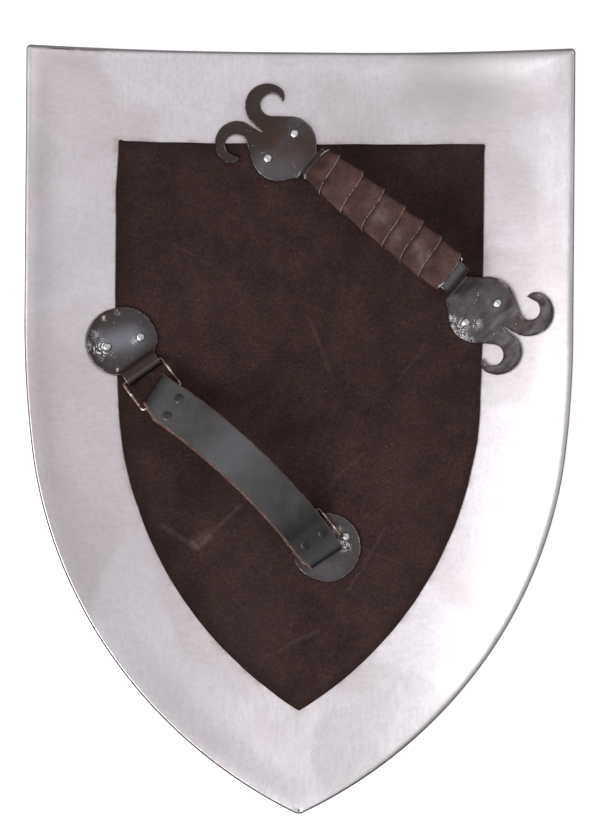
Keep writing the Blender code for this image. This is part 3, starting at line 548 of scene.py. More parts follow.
class Skin:
    """Collects the points and faces of one piece, with shares painted on the points."""

    def __init__(self):
        self.points = []
        self.faces = []
        self.kinds = []
        self.paint = {}

    def add_points(self, points, **painted):
        """painted holds a share for each name, or a list with one for each point."""
        start = len(self.points)
        self.points += [tuple(p) for p in points]
        for name, value in painted.items():
            shares = value if isinstance(value, list) else [value] * len(points)
            self.paint.setdefault(name, {}).update(enumerate(shares, start))
        return list(range(start, len(self.points)))

    def add_face(self, corners, kind=0):
        corners = tuple(dict.fromkeys(corners))
        if len(corners) > 2:
            self.faces.append(corners)
            self.kinds.append(kind)

    def band(self, first, second, kinds=None):
        """Quads between two rings of points. They look to the left of the way from first to second."""
        kinds = kinds or [0] * len(first)
        for i, kind in enumerate(kinds, 1 - len(first)):
            self.add_face((first[i - 1], first[i], second[i], second[i - 1]), kind)

    def loft(self, rings, closed=False, kinds=None, cap=0):
        """A tube of rings, capped at both ends unless it closes on itself."""
        for before, after in zip(rings, rings[1:] + (rings[:1] if closed else [])):
            self.band(before, after, kinds)
        if not closed:
            self.add_face(rings[0][::-1], cap)
            self.add_face(rings[-1], cap)

    def make(self, name, materials, angle):
        """The object. Edges sharper than the angle, in degrees, are shaded sharp."""
        mesh = bpy.data.meshes.new(name)
        mesh.from_pydata(self.points, [], self.faces)
        for material in materials:
            mesh.materials.append(material)
        mesh.polygons.foreach_set("material_index", self.kinds)
        for share, values in self.paint.items():
            data = np.zeros(len(self.points), np.float32)
            data[list(values)] = list(values.values())
            mesh.attributes.new(share, "FLOAT", "POINT").data.foreach_set("value", data)
        bm = bmesh.new()
        bm.from_mesh(mesh)
        bmesh.ops.remove_doubles(bm, verts=bm.verts, dist=2e-6)
        bmesh.ops.dissolve_degenerate(bm, edges=bm.edges, dist=1e-6)
        bmesh.ops.recalc_face_normals(bm, faces=bm.faces)
        bm.to_mesh(mesh)
        bm.free()
        mesh.shade_smooth()
        mesh.set_sharp_from_angle(angle=math.radians(angle))
        return new_object(name, mesh)


def distance_to(points):
    """A function from a place in plan to its distance from the nearest of these points."""
    tree = kdtree.KDTree(len(points))
    for i, (x, y) in enumerate(points):
        tree.insert((x, y, 0.0), i)
    tree.balance()
    return lambda x, y: tree.find((x, y, 0.0))[2]


def inside(points, outline):
    """Which of the points, an array, lie inside a closed outline."""
    found = np.zeros(len(points), bool)
    x, y = points[:, 0], points[:, 1]
    for (x0, y0), (x1, y1) in zip(outline, np.roll(outline, -1, axis=0)):
        if y0 != y1:
            crosses = (y0 > y) != (y1 > y)
            found ^= crosses & (x < x0 + (y - y0) * (x1 - x0) / (y1 - y0))
    return found


def fill(outline, spacing):
    """Evenly spaced points inside a closed outline, and triangles between them and its own points."""
    border = np.array(outline)
    low, high = border.min(0), border.max(0)
    grid = []
    for number, y in enumerate(np.arange(low[1], high[1], spacing * math.sqrt(0.75))):
        xs = np.arange(low[0] + (number % 2) * spacing / 2, high[0], spacing)
        grid.append(np.column_stack([xs, np.full(len(xs), y)]))
    grid = np.concatenate(grid)
    off = distance_to(outline)
    inner = [(x, y) for x, y in grid[inside(grid, border)].tolist() if off(x, y) > 0.6 * spacing]
    points = [Vector(p) for p in border.tolist() + inner]
    edges = [(i, (i + 1) % len(border)) for i in range(len(border))]
    _, _, triangles, origin, _, _ = delaunay_2d_cdt(points, edges, [], 1, 1e-8)
    return inner, [[origin[i][0] for i in triangle] for triangle in triangles]


def full_turn(sides):
    """Angles of that many points round a circle."""
    return [2 * math.pi * k / sides for k in range(sides)]


def arc(centre, radius, start, end, steps):
    """Points along an arc, angles in degrees."""
    turns = [math.radians(start + (end - start) * i / steps) for i in range(steps + 1)]
    return [(centre[0] + radius * math.cos(t), centre[1] + radius * math.sin(t)) for t in turns]


def gaps(points):
    return [math.dist(points[i], points[(i + 1) % len(points)]) for i in range(len(points))]


def divided(points, counts):
    """The closed outline with each of its stretches cut into that many equal parts."""
    made = []
    for i, count in enumerate(counts):
        (x0, y0), (x1, y1) = points[i], points[(i + 1) % len(points)]
        made += [(x0 + (x1 - x0) * k / count, y0 + (y1 - y0) * k / count) for k in range(count)]
    return made


def evenly(points, spacing):
    return divided(points, [max(1, round(gap / spacing)) for gap in gaps(points)])


def inset(points, distance):
    """The closed outline moved inwards, with mitred corners."""
    made = []
    befores, afters = points[-1:] + points[:-1], points[1:] + points[:1]
    area = sum(a[0] * b[1] - b[0] * a[1] for a, b in zip(points, afters))
    turn = math.copysign(1.0, area)
    for before, here, after in zip(befores, points, afters):
        one = Vector((here[0] - before[0], here[1] - before[1])).normalized()
        two = Vector((after[0] - here[0], after[1] - here[1])).normalized()
        square = Vector((-one.y, one.x)) * turn
        inward = Vector((-one.y - two.y, one.x + two.x)) * turn
        if inward.length < 1e-6:
            inward = square.copy()
        inward.normalize()
        reach = distance / max(0.35, inward.dot(square))
        made.append((here[0] + inward.x * reach, here[1] + inward.y * reach))
    return made


def slab(outlines, heights, place, spacing, paint, relief=None):
    """A closed plate from a stack of outlines, lowest first, with its top and bottom filled.

    place turns (u, v, height) into a point, relief(u, v) raises the top, and paint(u, v, loop)
    gives the shares painted on a point. loop counts the outlines. It is one past the last of them
    inside the bottom, and -1 inside the top.
    """
    skin = Skin()
    last = len(outlines) - 1

    def add(points, height, loop):
        lift = relief if relief and loop in (last, -1) else lambda u, v: 0.0
        made = [place(u, v, height + lift(u, v)) for u, v in points]
        shares = [paint(u, v, loop) for u, v in points]
        return skin.add_points(made, **{name: [s[name] for s in shares] for name in shares[0]})

    rings = [add(outline, height, i) for i, (outline, height) in enumerate(zip(outlines, heights))]
    for lower, upper in zip(rings, rings[1:]):
        skin.band(lower, upper)
    for end, loop in ((0, last + 1), (-1, -1)):
        inner, triangles = fill(outlines[end], spacing)
        index = rings[end] + add(inner, heights[end], loop)
        for triangle in triangles:
            corners = [index[i] for i in triangle]
            skin.add_face(corners if loop == -1 else corners[::-1])
    return skin


def rounded_edge(outline, thickness, radius, steps=3):
    """Insets and heights of a plate's edge, rounded at its top and bottom, as two lists."""
    quarter = [math.radians(90 * i / steps) for i in range(steps + 1)]
    low = [(radius * (1 - math.sin(t)), radius * (1 - math.cos(t))) for t in quarter]
    profile = low + [(d, thickness - h) for d, h in reversed(low)]
    return [inset(outline, d) if d > 1e-7 else outline for d, _ in profile], [h for _, h in profile]


def blotch(x, y, size, seed):
    """Smooth noise from about -1 to 1 with features of about that size."""
    return noise.noise(Vector((x / size, y / size, seed)))


def clamp(value):
    return min(1.0, max(0.0, value))


def plan_axes(angle):
    """Two unit vectors in plan: one at this angle, and one square to it, to its left."""
    along = Vector((math.cos(angle), math.sin(angle)))
    return along, Vector((-along.y, along.x))


def axes_matrix(origin, *axes):
    return Matrix.Translation(origin) @ Matrix(axes).transposed().to_4x4()


def fade(distance, reach):
    """1 at a distance of 0, falling smoothly to 0 at reach."""
    share = max(0.0, 1.0 - distance / reach)
    return share * share * (3 - 2 * share)


def to_segment(point, start, end):
    """Distance in plan from a point to the line between two others."""
    start, end, point = Vector(start), Vector(end), Vector(point)
    way = end - start
    share = clamp((point - start).dot(way) / way.length_squared)
    return (point - start - way * share).length


def strongest(point, spots, torn=1.0):
    """The largest share that round spots, each (x, y, reach, share) in plan, have at a point."""
    return max(share * fade(math.dist(point, (x, y)) * torn, reach) for x, y, reach, share in spots)


# --- The hollow of the shield ---------------------------------------------------------------------


def hollow(x, depth=0.0):
    """Height of the surface that lies `depth` behind the shield's face, at x."""
    beyond = max(0.0, abs(x) - FLAT_HALF)
    radius = FLANK_BEND - depth
    return FACE_Z + FLANK_BEND - math.sqrt(radius * radius - beyond * beyond)


def frame_at(x, y):
    """A matrix with its origin on the shield's face at x, y and its Z axis square to it."""
    beyond = max(0.0, abs(x) - FLAT_HALF)
    lean = math.copysign(math.asin(beyond / FLANK_BEND), x)
    return Matrix.Translation((x, y, hollow(x))) @ Matrix.Rotation(-lean, 4, "Y")


def heater_outline(half_width, top, shoulder, ease, flank, corner, tip_half, lean, steps):
    """A heater's outline: straight top and sides, then flanks that ease into round curves to the tip."""
    ease_radius, ease_degrees = ease
    side = arc((half_width - ease_radius, shoulder), ease_radius, 0, -ease_degrees, steps // 5)
    turn = math.radians(ease_degrees)
    centre = (side[-1][0] - flank * math.cos(turn), side[-1][1] + flank * math.sin(turn))
    tip_angle = math.degrees(math.acos((tip_half - centre[0]) / flank))
    side += arc(centre, flank, -ease_degrees, -tip_angle, steps)[1:]
    tip = side[-1][1]
    right = arc((half_width - corner, top - corner), corner, 90, 0, 8) + side
    outline = right + [(-x, y) for x, y in reversed(right)]
    return [(x + lean * max(0.0, (shoulder - y) / (shoulder - tip)), y) for x, y in outline]


def shield_outline(cut=0.0):
    """The shield's outline with this much cut off. The corners stay round where the cut is deep."""
    deep = max(0.0, cut - 0.005)
    ease_radius, ease_degrees = SHIELD_EASE
    corner = max(SHIELD_CORNER - cut, 0.001) + 1.3 * deep
    tip = SHIELD_TIP_HALF + 0.5 * deep
    ease, flank = (ease_radius - cut, ease_degrees), SHIELD_FLANK - cut
    width, top = CAD_HIGH.x - cut, CAD_HIGH.y - cut
    return heater_outline(width, top, SHOULDER, ease, flank, corner, tip, SHIELD_LEAN, 150)


def liner_outline():
    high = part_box("suede_liner")[1]
    return heater_outline(
        high.x, high.y, LINER_SHOULDER, LINER_EASE, LINER_FLANK, 0.0016, 0.001, LINER_LEAN, 140
    )


# --- Shield ---------------------------------------------------------------------------------------

# Across the folded edge, from the shield's face round the fold to the hollow, in millimetres: (cut
# from the outline, height behind the face, the same where the fold is sharp, share of the waviness).
HEM_PROFILE = (
    (2.4, 0.00, 0.00, 0.0),
    (1.2, 0.02, 0.02, 0.2),
    (0.5, 0.06, 0.06, 0.3),
    (0.1, 0.16, 0.16, 0.4),
    (0.0, 0.32, 0.32, 0.5),
    (0.08, 0.56, 0.48, 0.6),
    (0.28, 0.86, 0.80, 0.7),
    (0.58, 1.18, 1.27, 0.8),
    (0.95, 1.50, 1.85, 0.9),
    (1.4, 1.84, 2.54, 1.0),
    (1.9, 2.16, 3.05, 1.0),
    (2.5, 2.47, 3.21, 1.0),
    (3.1, 2.71, 3.24, 1.0),
    (3.8, 2.93, 3.25, 1.0),
    (4.6, 3.11, 3.26, 0.9),
    (5.5, 3.24, 3.27, 0.8),
    (6.5, 3.30, 3.28, 0.7),
    (8.0, 3.31, 3.27, 0.6),
    (11.0, 3.14, 3.14, 0.4),
    (15.0, 2.78, 2.78, 0.3),
    (20.0, 2.30, 2.30, 0.2),
    (26.0, 1.83, 1.83, 0.1),
    (32.0, 1.55, 1.55, 0.0),
    (37.0, 1.499, 1.499, 0.0),
)
# The outline of the fold that has cracked open, where the crack's shade is painted dark, and the
# outlines beside it that are dirty there.
CRACK_LOOP = 12
CRACK_STAIN = range(10, 17)
# Where that is, near the top left corner: (how far along the edge, reach, share).
CRACKS = ((-0.229, 0.026, 2.3), (-0.196, 0.050, 1.2))
# The way from the tip to the pinched notch in the fold, whose pit is painted dark as shade.
NOTCH_OFF_TIP = (-0.0028, 0.0036)
# Painted shade on the outer outlines of the folded edge, where it rounds away from the light: at the
# sides and towards the tip, and down the right side.
RIM_SHADE = {3: 0.8, 4: 0.9, 5: 0.9, 6: 0.9, 7: 0.9, 8: 0.85, 9: 0.40}
RIGHT_RIM_SHADE = {8: 0.20, 9: 0.18, 10: 0.20, 11: 0.24, 12: 0.26, 13: 0.16}

# Patches of grey on the steel, in plan: (x, y, reach, share). They are partly a grey film and partly
# painted shade where the flanks should reflect darker.
FILM_AND_SHADE_PATCHES = (
    (0.150, 0.335, 0.090, 0.85),
    (0.205, 0.250, 0.050, 0.30),
    (-0.250, 0.120, 0.100, 0.16),
    (-0.190, -0.130, 0.080, 0.18),
    (0.050, -0.320, 0.045, 0.12),
    (-0.120, -0.250, 0.070, 0.22),
)


def ripple(x, y):
    """The slow waves that planishing has left in the sheet."""
    return 0.00042 * blotch(x, y, 0.105, 2.0) + 0.00012 * blotch(x, y, 0.038, 7.0)


def crack_shares(x, y, loop):
    """How dirty the fold is where it has cracked, and how much painted shade lies in the crack."""
    if y <= CAD_HIGH.y - 0.008:
        return 0.0, 0.0
    split = max(share * fade(abs(x - middle), reach) for middle, reach, share in CRACKS)
    torn = split * (0.85 + 0.5 * blotch(x, y, 0.006, 2.0)) if loop == CRACK_LOOP else 0.0
    return 0.6 * split if loop in CRACK_STAIN else 0.0, torn


def rim_shade_share(x, y, loop):
    """How much painted shade the folded edge gets."""
    low = clamp((0.10 - y) / 0.20)
    right = clamp((x - 0.06) / 0.08) if y < CAD_HIGH.y - 0.005 else 0.0
    rim = RIM_SHADE.get(loop, 0.0) * max(low, 0.55 * fade(CAD_HIGH.x - abs(x), 0.012))
    return max(rim * (1 - 0.75 * right), RIGHT_RIM_SHADE.get(loop, 0.0) * right)


def make_shield(steel):
    """The sheet and its folded edge, with a small pinched notch beside the tip."""
    counts = [max(1, round(gap / 0.0032)) for gap in gaps(shield_outline())]
    outlines = [divided(shield_outline(cut / 1000), counts) for cut, _, _, _ in HEM_PROFILE]
    rows = {height / 1000: (sharp / 1000, wave) for _, height, sharp, wave in HEM_PROFILE}
    tip = min(shield_outline(), key=lambda p: p[1])
    notch = (tip[0] + NOTCH_OFF_TIP[0], tip[1] + NOTCH_OFF_TIP[1])
    to_liner = distance_to(evenly(liner_outline(), 0.003))

    def place(x, y, height):
        sharp, share = rows.get(height, (height, 0.0))
        height += (sharp - height) * fade(max(0.0, y + 0.02), 0.16) * fade(max(0.0, x), 0.12)
        swell = 0.00016 * share * (blotch(x, y, 0.030, 4.0) + 0.6 * blotch(x, y, 0.011, 5.0))
        if height > 0.002:
            swell -= 0.0013 * fade(math.dist((x, y), notch), 0.0030)
        return Vector((x, y, hollow(x, height + swell) + ripple(x, y)))

    def paint(x, y, loop):
        if loop == len(HEM_PROFILE):
            return dict.fromkeys(("stain", "dark", "film", "rim"), 0.0)
        dirt, torn = crack_shares(x, y, loop)
        # Painted shade in the notch's pit.
        pit_shade = 1.2 * fade(math.dist((x, y), notch), 0.0034) if loop > 6 else 0.0
        film = strongest((x, y), FILM_AND_SHADE_PATCHES, 1.0 + 0.5 * blotch(x, y, 0.040, 9.0))
        stain = max(dirt, fade(to_liner(x, y), 0.006))
        return {"stain": stain, "dark": max(torn, pit_shade), "film": film, "rim": rim_shade_share(x, y, loop)}

    heights = [height / 1000 for _, height, _, _ in HEM_PROFILE]
    skin = slab(outlines, heights, place, 0.0055, paint)
    return skin.make("shield_sheet", [steel], 60)


# Long marks on the suede, in plan: (start, end, half width, share).
SUEDE_MARKS = (
    ((-0.1315, -0.0891), (-0.0956, -0.1106), 0.0018, 0.25),
    ((-0.0956, -0.1106), (-0.0552, -0.0696), 0.0018, 0.38),
    ((-0.1010, -0.1062), (-0.0952, -0.1104), 0.0026, 0.75),
    ((-0.0952, -0.1104), (-0.0850, -0.1000), 0.0026, 0.70),
    ((-0.0925, -0.1030), (-0.0870, -0.1000), 0.0050, 0.48),
    ((0.020, -0.060), (0.062, -0.020), 0.0014, 0.20),
    ((0.050, -0.150), (0.085, -0.090), 0.0012, 0.20),
    ((-0.060, -0.160), (-0.020, -0.200), 0.0014, 0.22),
    ((0.095, 0.050), (0.120, 0.085), 0.0011, 0.18),
    ((-0.120, 0.180), (-0.085, 0.160), 0.0011, 0.18),
    ((0.010, 0.110), (0.030, 0.060), 0.0012, 0.18),
    ((-0.030, -0.215), (0.020, -0.190), 0.0016, 0.22),
    ((0.060, -0.110), (0.100, -0.125), 0.0012, 0.18),
)
# A spot at the top right where the suede is painted darker: (x, y, reach, share).
DARKER_SPOT = ((0.170, 0.250, 0.055, 0.55),)


def pulled(x, y, corner):
    """The top corners of the glued suede have been drawn a little out of line."""
    left, right = math.dist((x, y), (-corner.x, corner.y)), math.dist((x, y), corner)
    x += 0.0020 * fade(left, 0.050) + 0.0008 * fade(right, 0.012)
    return x, y + 0.0013 * fade(left, 0.007) - 0.0006 * fade(right, 0.020)


def make_liner(suede):
    """Thin padded suede, glued down: slightly wavy along its edges and over its face."""
    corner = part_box("suede_liner")[1].xy
    outline = [
        (x + 0.0006 * blotch(x, y, 0.030, 1.0), y + 0.0006 * blotch(x, y, 0.034, 2.0))
        for x, y in evenly(liner_outline(), 0.0032)
    ]
    outline = [pulled(x, y, corner) for x, y in outline]
    outlines, heights = rounded_edge(outline, LINER, 0.0011)
    to_edge = distance_to(outline)

    def place(x, y, height):
        return Vector((x, y, hollow(x, LINER_DEPTH + height) + ripple(x, y)))

    def relief(x, y):
        return -0.00025 + 0.00022 * blotch(x, y, 0.045, 3.0) + 0.00010 * blotch(x, y, 0.014, 6.0)

    def paint(x, y, _):
        scuff = 0.16 * max(0.0, blotch(x, y, 0.090, 8.0) - y * 0.8)
        away = to_edge(x, y)
        # Painted shade along the edge, where the padding slopes down and is pressed, wider on the left
        # side.
        press = 0.75 * fade(away, 0.010) * (0.75 + 0.5 * blotch(x, y, 0.03, 6.0))
        if x < 0:
            press = max(press, 0.5 * fade(away, 0.022))
        press = max(press, strongest((x, y), DARKER_SPOT))
        return {"scuff": clamp(scuff), "press": clamp(press)}

    return slab(outlines, heights, place, 0.0034, paint, relief).make("suede_lining", [suede], 60)


# --- Bent strips ----------------------------------------------------------------------------------


def bend_path(segments):
    """A function from the length along a bent strip to (run, rise, heading).

    Each segment is a length and the turn along it in radians.
    """

    def at(along):
        run = rise = heading = 0.0
        for length, turn in segments:
            part = min(along, length)
            if turn:
                radius = length / turn
                ahead = heading + part / radius
                run += radius * (math.sin(ahead) - math.sin(heading))
                rise += radius * (math.cos(heading) - math.cos(ahead))
                heading = ahead
            else:
                run += part * math.cos(heading)
                rise += part * math.sin(heading)
            along -= part
            if along <= 0:
                break
        return run, rise, heading

    return at


# --- Grip -----------------------------------------------------------------------------------------

# Bare metal on the grip's plates, in plan: (x, y, reach, share).
FILED_HORN = ((-0.0490, 0.3140, 0.0150, 1.2),)
SCRATCHED = ((0.1576, 0.1049, 0.0080, 1.1), (0.1700, 0.1060, 0.0070, 0.7))
# How much of the grip's edges is painted bright, by outline: wear, and painted highlight where the bevel
# catches the light.
GRIP_EDGE_WEAR_AND_GLINT = {6: 0.5, 7: 0.8, 8: 0.7}


def plate_outline(slit_end, horns):
    """One end of the flat grip, out from the crease along x: a rounded plate with two horns."""
    points = []
    for side, (belly, curl, (outer, outer_radius), last) in zip((-1, 1), horns):
        toward = math.radians(last)
        inward = outer_radius - HORN_TIP
        tip = (outer[0] + inward * math.cos(toward), outer[1] + inward * math.sin(toward))
        edge = [(0.0, GRIP_BAR_HALF)] + arc(*belly, 142, 56, 22) + arc(*curl, 236, 446, 36)
        edge += arc(tip, HORN_TIP, last + 90, last, 14) + arc(outer, outer_radius, last - 3, -80, 44)
        edge += [(slit_end[0], side * slit_end[1] + 0.0005)]
        edge = [(x, side * y) for x, y in edge]
        points += edge if side < 0 else edge[::-1]
    return points


def riser_segments():
    """The bar from the middle of its level top down to the crease and on."""
    bends = LOWER_BEND + UPPER_BEND
    straight = (GRIP_RISE - bends * (1 - math.cos(RISER_ANGLE))) / math.sin(RISER_ANGLE)
    run = bends * math.sin(RISER_ANGLE) + straight * math.cos(RISER_ANGLE)
    return (
        (CREASE_TO_CREASE / 2 - run, 0.0),
        (UPPER_BEND * RISER_ANGLE, -RISER_ANGLE),
        (straight, 0.0),
        (LOWER_BEND * RISER_ANGLE, RISER_ANGLE),
        (0.2, 0.0),
    )


def grip_spot(run, q):
    """The place in plan that lies so far along the grip and across it."""
    along, across = plan_axes(GRIP_ANGLE)
    return GRIP_CENTRE + along * run + across * q


def crease_height(side):
    """Height of the plates' underside at the middle of one crease."""
    return hollow(grip_spot(side * CREASE_TO_CREASE / 2, PLATE_SHIFT).x, FITTING_DEPTH)


def grip_slope():
    """Rise of the bar's level top for each metre along it."""
    return (crease_height(1) - crease_height(-1)) / CREASE_TO_CREASE


def grip_base(run):
    """Height of the line from crease to crease."""
    return (crease_height(1) + crease_height(-1)) / 2 + grip_slope() * run


def grip_outline(spacing):
    """The whole grip cut flat: both plates and the bar between them."""
    segments = riser_segments()
    crease = sum(length for length, _ in segments[:4])
    level = segments[0][0]
    lower = [(crease + x, y + PLATE_SHIFT) for x, y in plate_outline(*LOWER_PLATE)]
    upper = [(-crease - x, -y + PLATE_SHIFT) for x, y in plate_outline(*UPPER_PLATE)]
    lower_side = [(-level, -GRIP_BAR_HALF), (level, -GRIP_BAR_HALF)]
    upper_side = [(level, GRIP_BAR_HALF), (-level, GRIP_BAR_HALF)]
    return evenly(lower + upper_side + upper + lower_side, spacing)


def upper_plate_look(point, out):
    """Painted highlight (pale), painted shade and brown shares on the upper plate: the highlight lies on
    a streak and by the crease, and the brownish shade darkens the horns. out is how far past the crease.
    """
    pale = 0.30 * fade(to_segment(point, (-0.0300, 0.2500), (-0.0050, 0.2560)), 0.026)
    pale = max(pale, 0.25 * fade(max(0.0, out + 0.002), 0.006))
    shade = 0.75 * (1 - fade(out - 0.030, 0.024)) if out > 0.030 else 0.25
    return pale, shade, 1.0 + 1.2 * clamp((out - 0.030) / 0.012)


def lower_plate_look(point, out, rim):
    """The same on the lower plate: streaks of painted highlight and shade along its horns where
    hammering has left facets, painted highlight by the crease and painted shade at its rim.
    """
    down, up = point.x + point.y, point.x - point.y
    streak = noise.noise(Vector((down / 0.026, up / 0.0065, 6.0)))
    streak += 0.5 * noise.noise(Vector((down / 0.012, up / 0.0030, 2.0)))
    streak *= 1.0 if out > 0.045 else 0.45
    pale = max(0.0, 0.38 * streak, 0.22 * fade(max(0.0, out + 0.002), 0.006))
    shade = max(0.0, -1.7 * streak, 0.85 if rim else 0.0)
    rusty = to_segment(point, (0.1990, 0.1240), (0.2100, 0.1080))
    return pale, shade, 0.2 + 1.8 * fade(rusty, 0.0150)


def grip_bare(point, lower, edge):
    """Bright scratches on the plates, and one horn's filed edge."""
    if not lower:
        bare = 0.9 * fade(to_segment(point, (0.0005, 0.2450), (0.0060, 0.2480)), 0.0070)
        return max(bare, strongest(point, FILED_HORN)) if edge else bare
    corner = min(
        to_segment(point, (0.1444, 0.1085), (0.1502, 0.0977)),
        to_segment(point, (0.1502, 0.0977), (0.1615, 0.0880)),
    )
    return max(2.2 * fade(corner, 0.0080), strongest(point, SCRATCHED))


def make_grip(iron):
    """The flat grip with its horned plates, bent down to the hollow at both ends."""
    segments = riser_segments()
    bent = bend_path(segments)
    crease = sum(length for length, _ in segments[:4])
    outlines, heights = rounded_edge(grip_outline(0.0012), GRIP_THICKNESS, 0.0006, 4)

    def spot(u, q):
        return grip_spot(math.copysign(bent(abs(u))[0], u), q)

    def place(u, q, height):
        run, rise, heading = bent(abs(u))
        share = clamp((rise + GRIP_RISE) / GRIP_RISE)
        base = share * grip_base(math.copysign(run, u))
        base += (1 - share) * hollow(spot(u, q).x, FITTING_DEPTH)
        run -= math.sin(heading) * height
        rise += math.cos(heading) * height
        point = grip_spot(math.copysign(run, u), q)
        return Vector((point.x, point.y, base + rise + GRIP_RISE))

    def relief(u, q):
        if abs(u) < crease:
            return 0.0
        x, y = spot(u, q)
        worked = 0.00022 * blotch(x, y, 0.014, 3.0) + 0.00010 * blotch(x, y, 0.006, 4.0) - 0.00012
        return worked * (1.0 if u < 0 else 2.0)

    def paint(u, q, loop):
        point, out = spot(u, q), abs(u) - crease
        edge = GRIP_EDGE_WEAR_AND_GLINT.get(loop, 0.0)
        bare = grip_bare(point, u > 0, edge) * min(1.0, max(0.1, 1.0 + out / 0.003))
        if u < 0:
            pale, shade, brown = upper_plate_look(point, out)
        else:
            pale, shade, brown = lower_plate_look(point, out, loop in (8, 9))
        pale, shade = min(1.0, pale), min(1.0, shade)
        return {"edge": edge, "bare": bare, "pale": pale, "shade": shade, "brown": brown}

    return slab(outlines, heights, place, 0.0022, paint, relief).make("grip_forging", [iron], 45)


def bar_frame(run):
    """Frame in the middle of the bar's level top: X along it, Z square to it."""
    along, across = plan_axes(GRIP_ANGLE)
    forward = Vector((along.x, along.y, grip_slope())).normalized()
    side = Vector((across.x, across.y, 0.0))
    normal = forward.cross(side)
    origin = grip_spot(run, 0.0).to_3d() + Vector((0.0, 0.0, grip_base(run) + GRIP_RISE))
    return axes_matrix(origin + normal * (GRIP_THICKNESS / 2), forward, side, normal)


# Across the wound strip, from its covered side to its free edge, over the top and back below:
# (share of the turn's length, height above the layer below in millimetres).
STRIP_PROFILE = (
    (-0.15, -1.0),
    (-0.05, -0.45),
    (0.06, 0.00),
    (0.25, 0.12),
    (0.50, 0.28),
    (0.75, 0.60),
    (0.92, 1.05),
    (0.985, 1.42),
    (1.0, 1.50),
    (1.010, 1.38),
    (1.012, 0.80),
    (0.99, 0.05),
    (0.75, -0.40),
    (0.25, -0.90),
    (-0.15, -1.3),
)
# Where the strip's free edge crosses the middle of the grip on top, turn by turn.
WRAP_SEAMS = (-0.0950, -0.0684, -0.0408, -0.0153, 0.0102, 0.0314, 0.0541, 0.0790, 0.1030)
# How much faster the strip climbs below the grip than over it.
SEAM_STEEPNESS = 0.055
# Shares of pale cut edge on the points of STRIP_PROFILE, by their number.
STRIP_CUT = {8: 1.0, 9: 0.2}
# Shiny spots on the wound grip: along and across it.
RUBBED = ((-0.006, 0.000), (0.017, -0.004), (0.0395, 0.000), (0.052, -0.005))
# How square the wound grip's section is: 2 is an ellipse.
SQUARENESS = 3.4


def round_box(angle, half_width, half_height):
    """A point of the section of a box with round corners, at this angle."""
    sides = (math.cos(angle), half_width), (math.sin(angle), half_height)
    return [math.copysign(abs(part) ** (2 / SQUARENESS), part) * half for part, half in sides]


def seam_run(turn):
    """How far along the grip the strip's free edge is, after so many turns. x.25 is the top middle."""
    along = min(max(turn - 0.25, 0.0), len(WRAP_SEAMS) - 1.001)
    number = int(along)
    share = along - number
    eased = share + SEAM_STEEPNESS * math.cos(2 * math.pi * (share + 0.25))
    here, after = WRAP_SEAMS[number], WRAP_SEAMS[number + 1]
    return here + (after - here) * eased


def strip_point(angle, run, lift):
    """Where the wound strip is in the bar's frame, at this angle round the bar and height."""
    over = max(WRAP_START - run, run - WRAP_END, 0.0)
    run = min(max(run, WRAP_START), WRAP_END)
    slim = 0.0030 * fade(run - WRAP_START, 0.034) + 0.0014 * fade(WRAP_END - run, 0.020)
    raised = lift / 1000 * (1.0 if over == 0.0 else 0.4)
    if lift > 0.0 and over == 0.0:
        raised *= 1.0 + 0.9 * max(0.0, math.cos(angle)) ** 6
    width = WRAP_HALF_WIDTH - STRIP_DEPTH - slim + raised
    y, z = round_box(angle, width, WRAP_HALF_THICKNESS - STRIP_DEPTH - 0.4 * slim + raised)
    lump = 0.00035 * noise.noise(Vector((run * 75, y * 75, z * 75)))
    return run, y * (1 + lump / 0.02), z * (1 + lump / 0.006)


def strip_scuff(run, y, z):
    """How much a hand has rubbed the strip, on top of the grip."""
    spot = 0.0
    if z > 0:
        spot = max(fade(math.hypot(run - u, 0.7 * (y - v)), 0.0085) for u, v in RUBBED)
    return 0.50 * spot * (0.7 + 0.8 * noise.noise(Vector((run * 260, y * 260, 5.0))))


def strip_shade(run, y, share):
    """Painted shade on the strip beside the next turn's edge and on its low side, and a darker first
    turn.
    """
    under = fade(abs(share - 0.04), 0.10)
    low = max(0.0, -y / WRAP_HALF_WIDTH)
    return min(1.0, 0.5 * under + 0.2 * low + 0.25 * fade(run - WRAP_START, 0.020))


def make_wrap(suede):
    """One suede strip wound round the bar, each turn's free edge lying on the next turn."""
    matrix = bar_frame(0.0)
    skin = Skin()
    rings = []
    shares = [share for share, _ in STRIP_PROFILE]
    edges = [STRIP_CUT.get(number, 0.0) for number in range(len(STRIP_PROFILE))]
    for step in range((len(WRAP_SEAMS) - 1) * STEPS_A_TURN + 1):
        turn = step / STEPS_A_TURN
        edge_run = seam_run(turn)
        start_run = seam_run(turn - 1.0) if turn > 1.0 else edge_run - WRAP_PITCH
        wander = 0.0009 * noise.noise(Vector((step / 11.0, 0.0, 1.0)))
        width = edge_run + wander - start_run
        places = [
            strip_point(2 * math.pi * turn, start_run + width * share, lift)
            for share, lift in STRIP_PROFILE
        ]
        scuffs = [strip_scuff(*place) for place in places]
        shades = [strip_shade(run, y, share) for (run, y, _), share in zip(places, shares)]
        ring = [matrix @ Vector(place) for place in places]
        rings.append(skin.add_points(ring, edge=edges, scuff=scuffs, press=shades))
    skin.loft(rings)
    return skin.make("grip_winding", [suede], 45)


# --- Anchors and rings ----------------------------------------------------------------------------

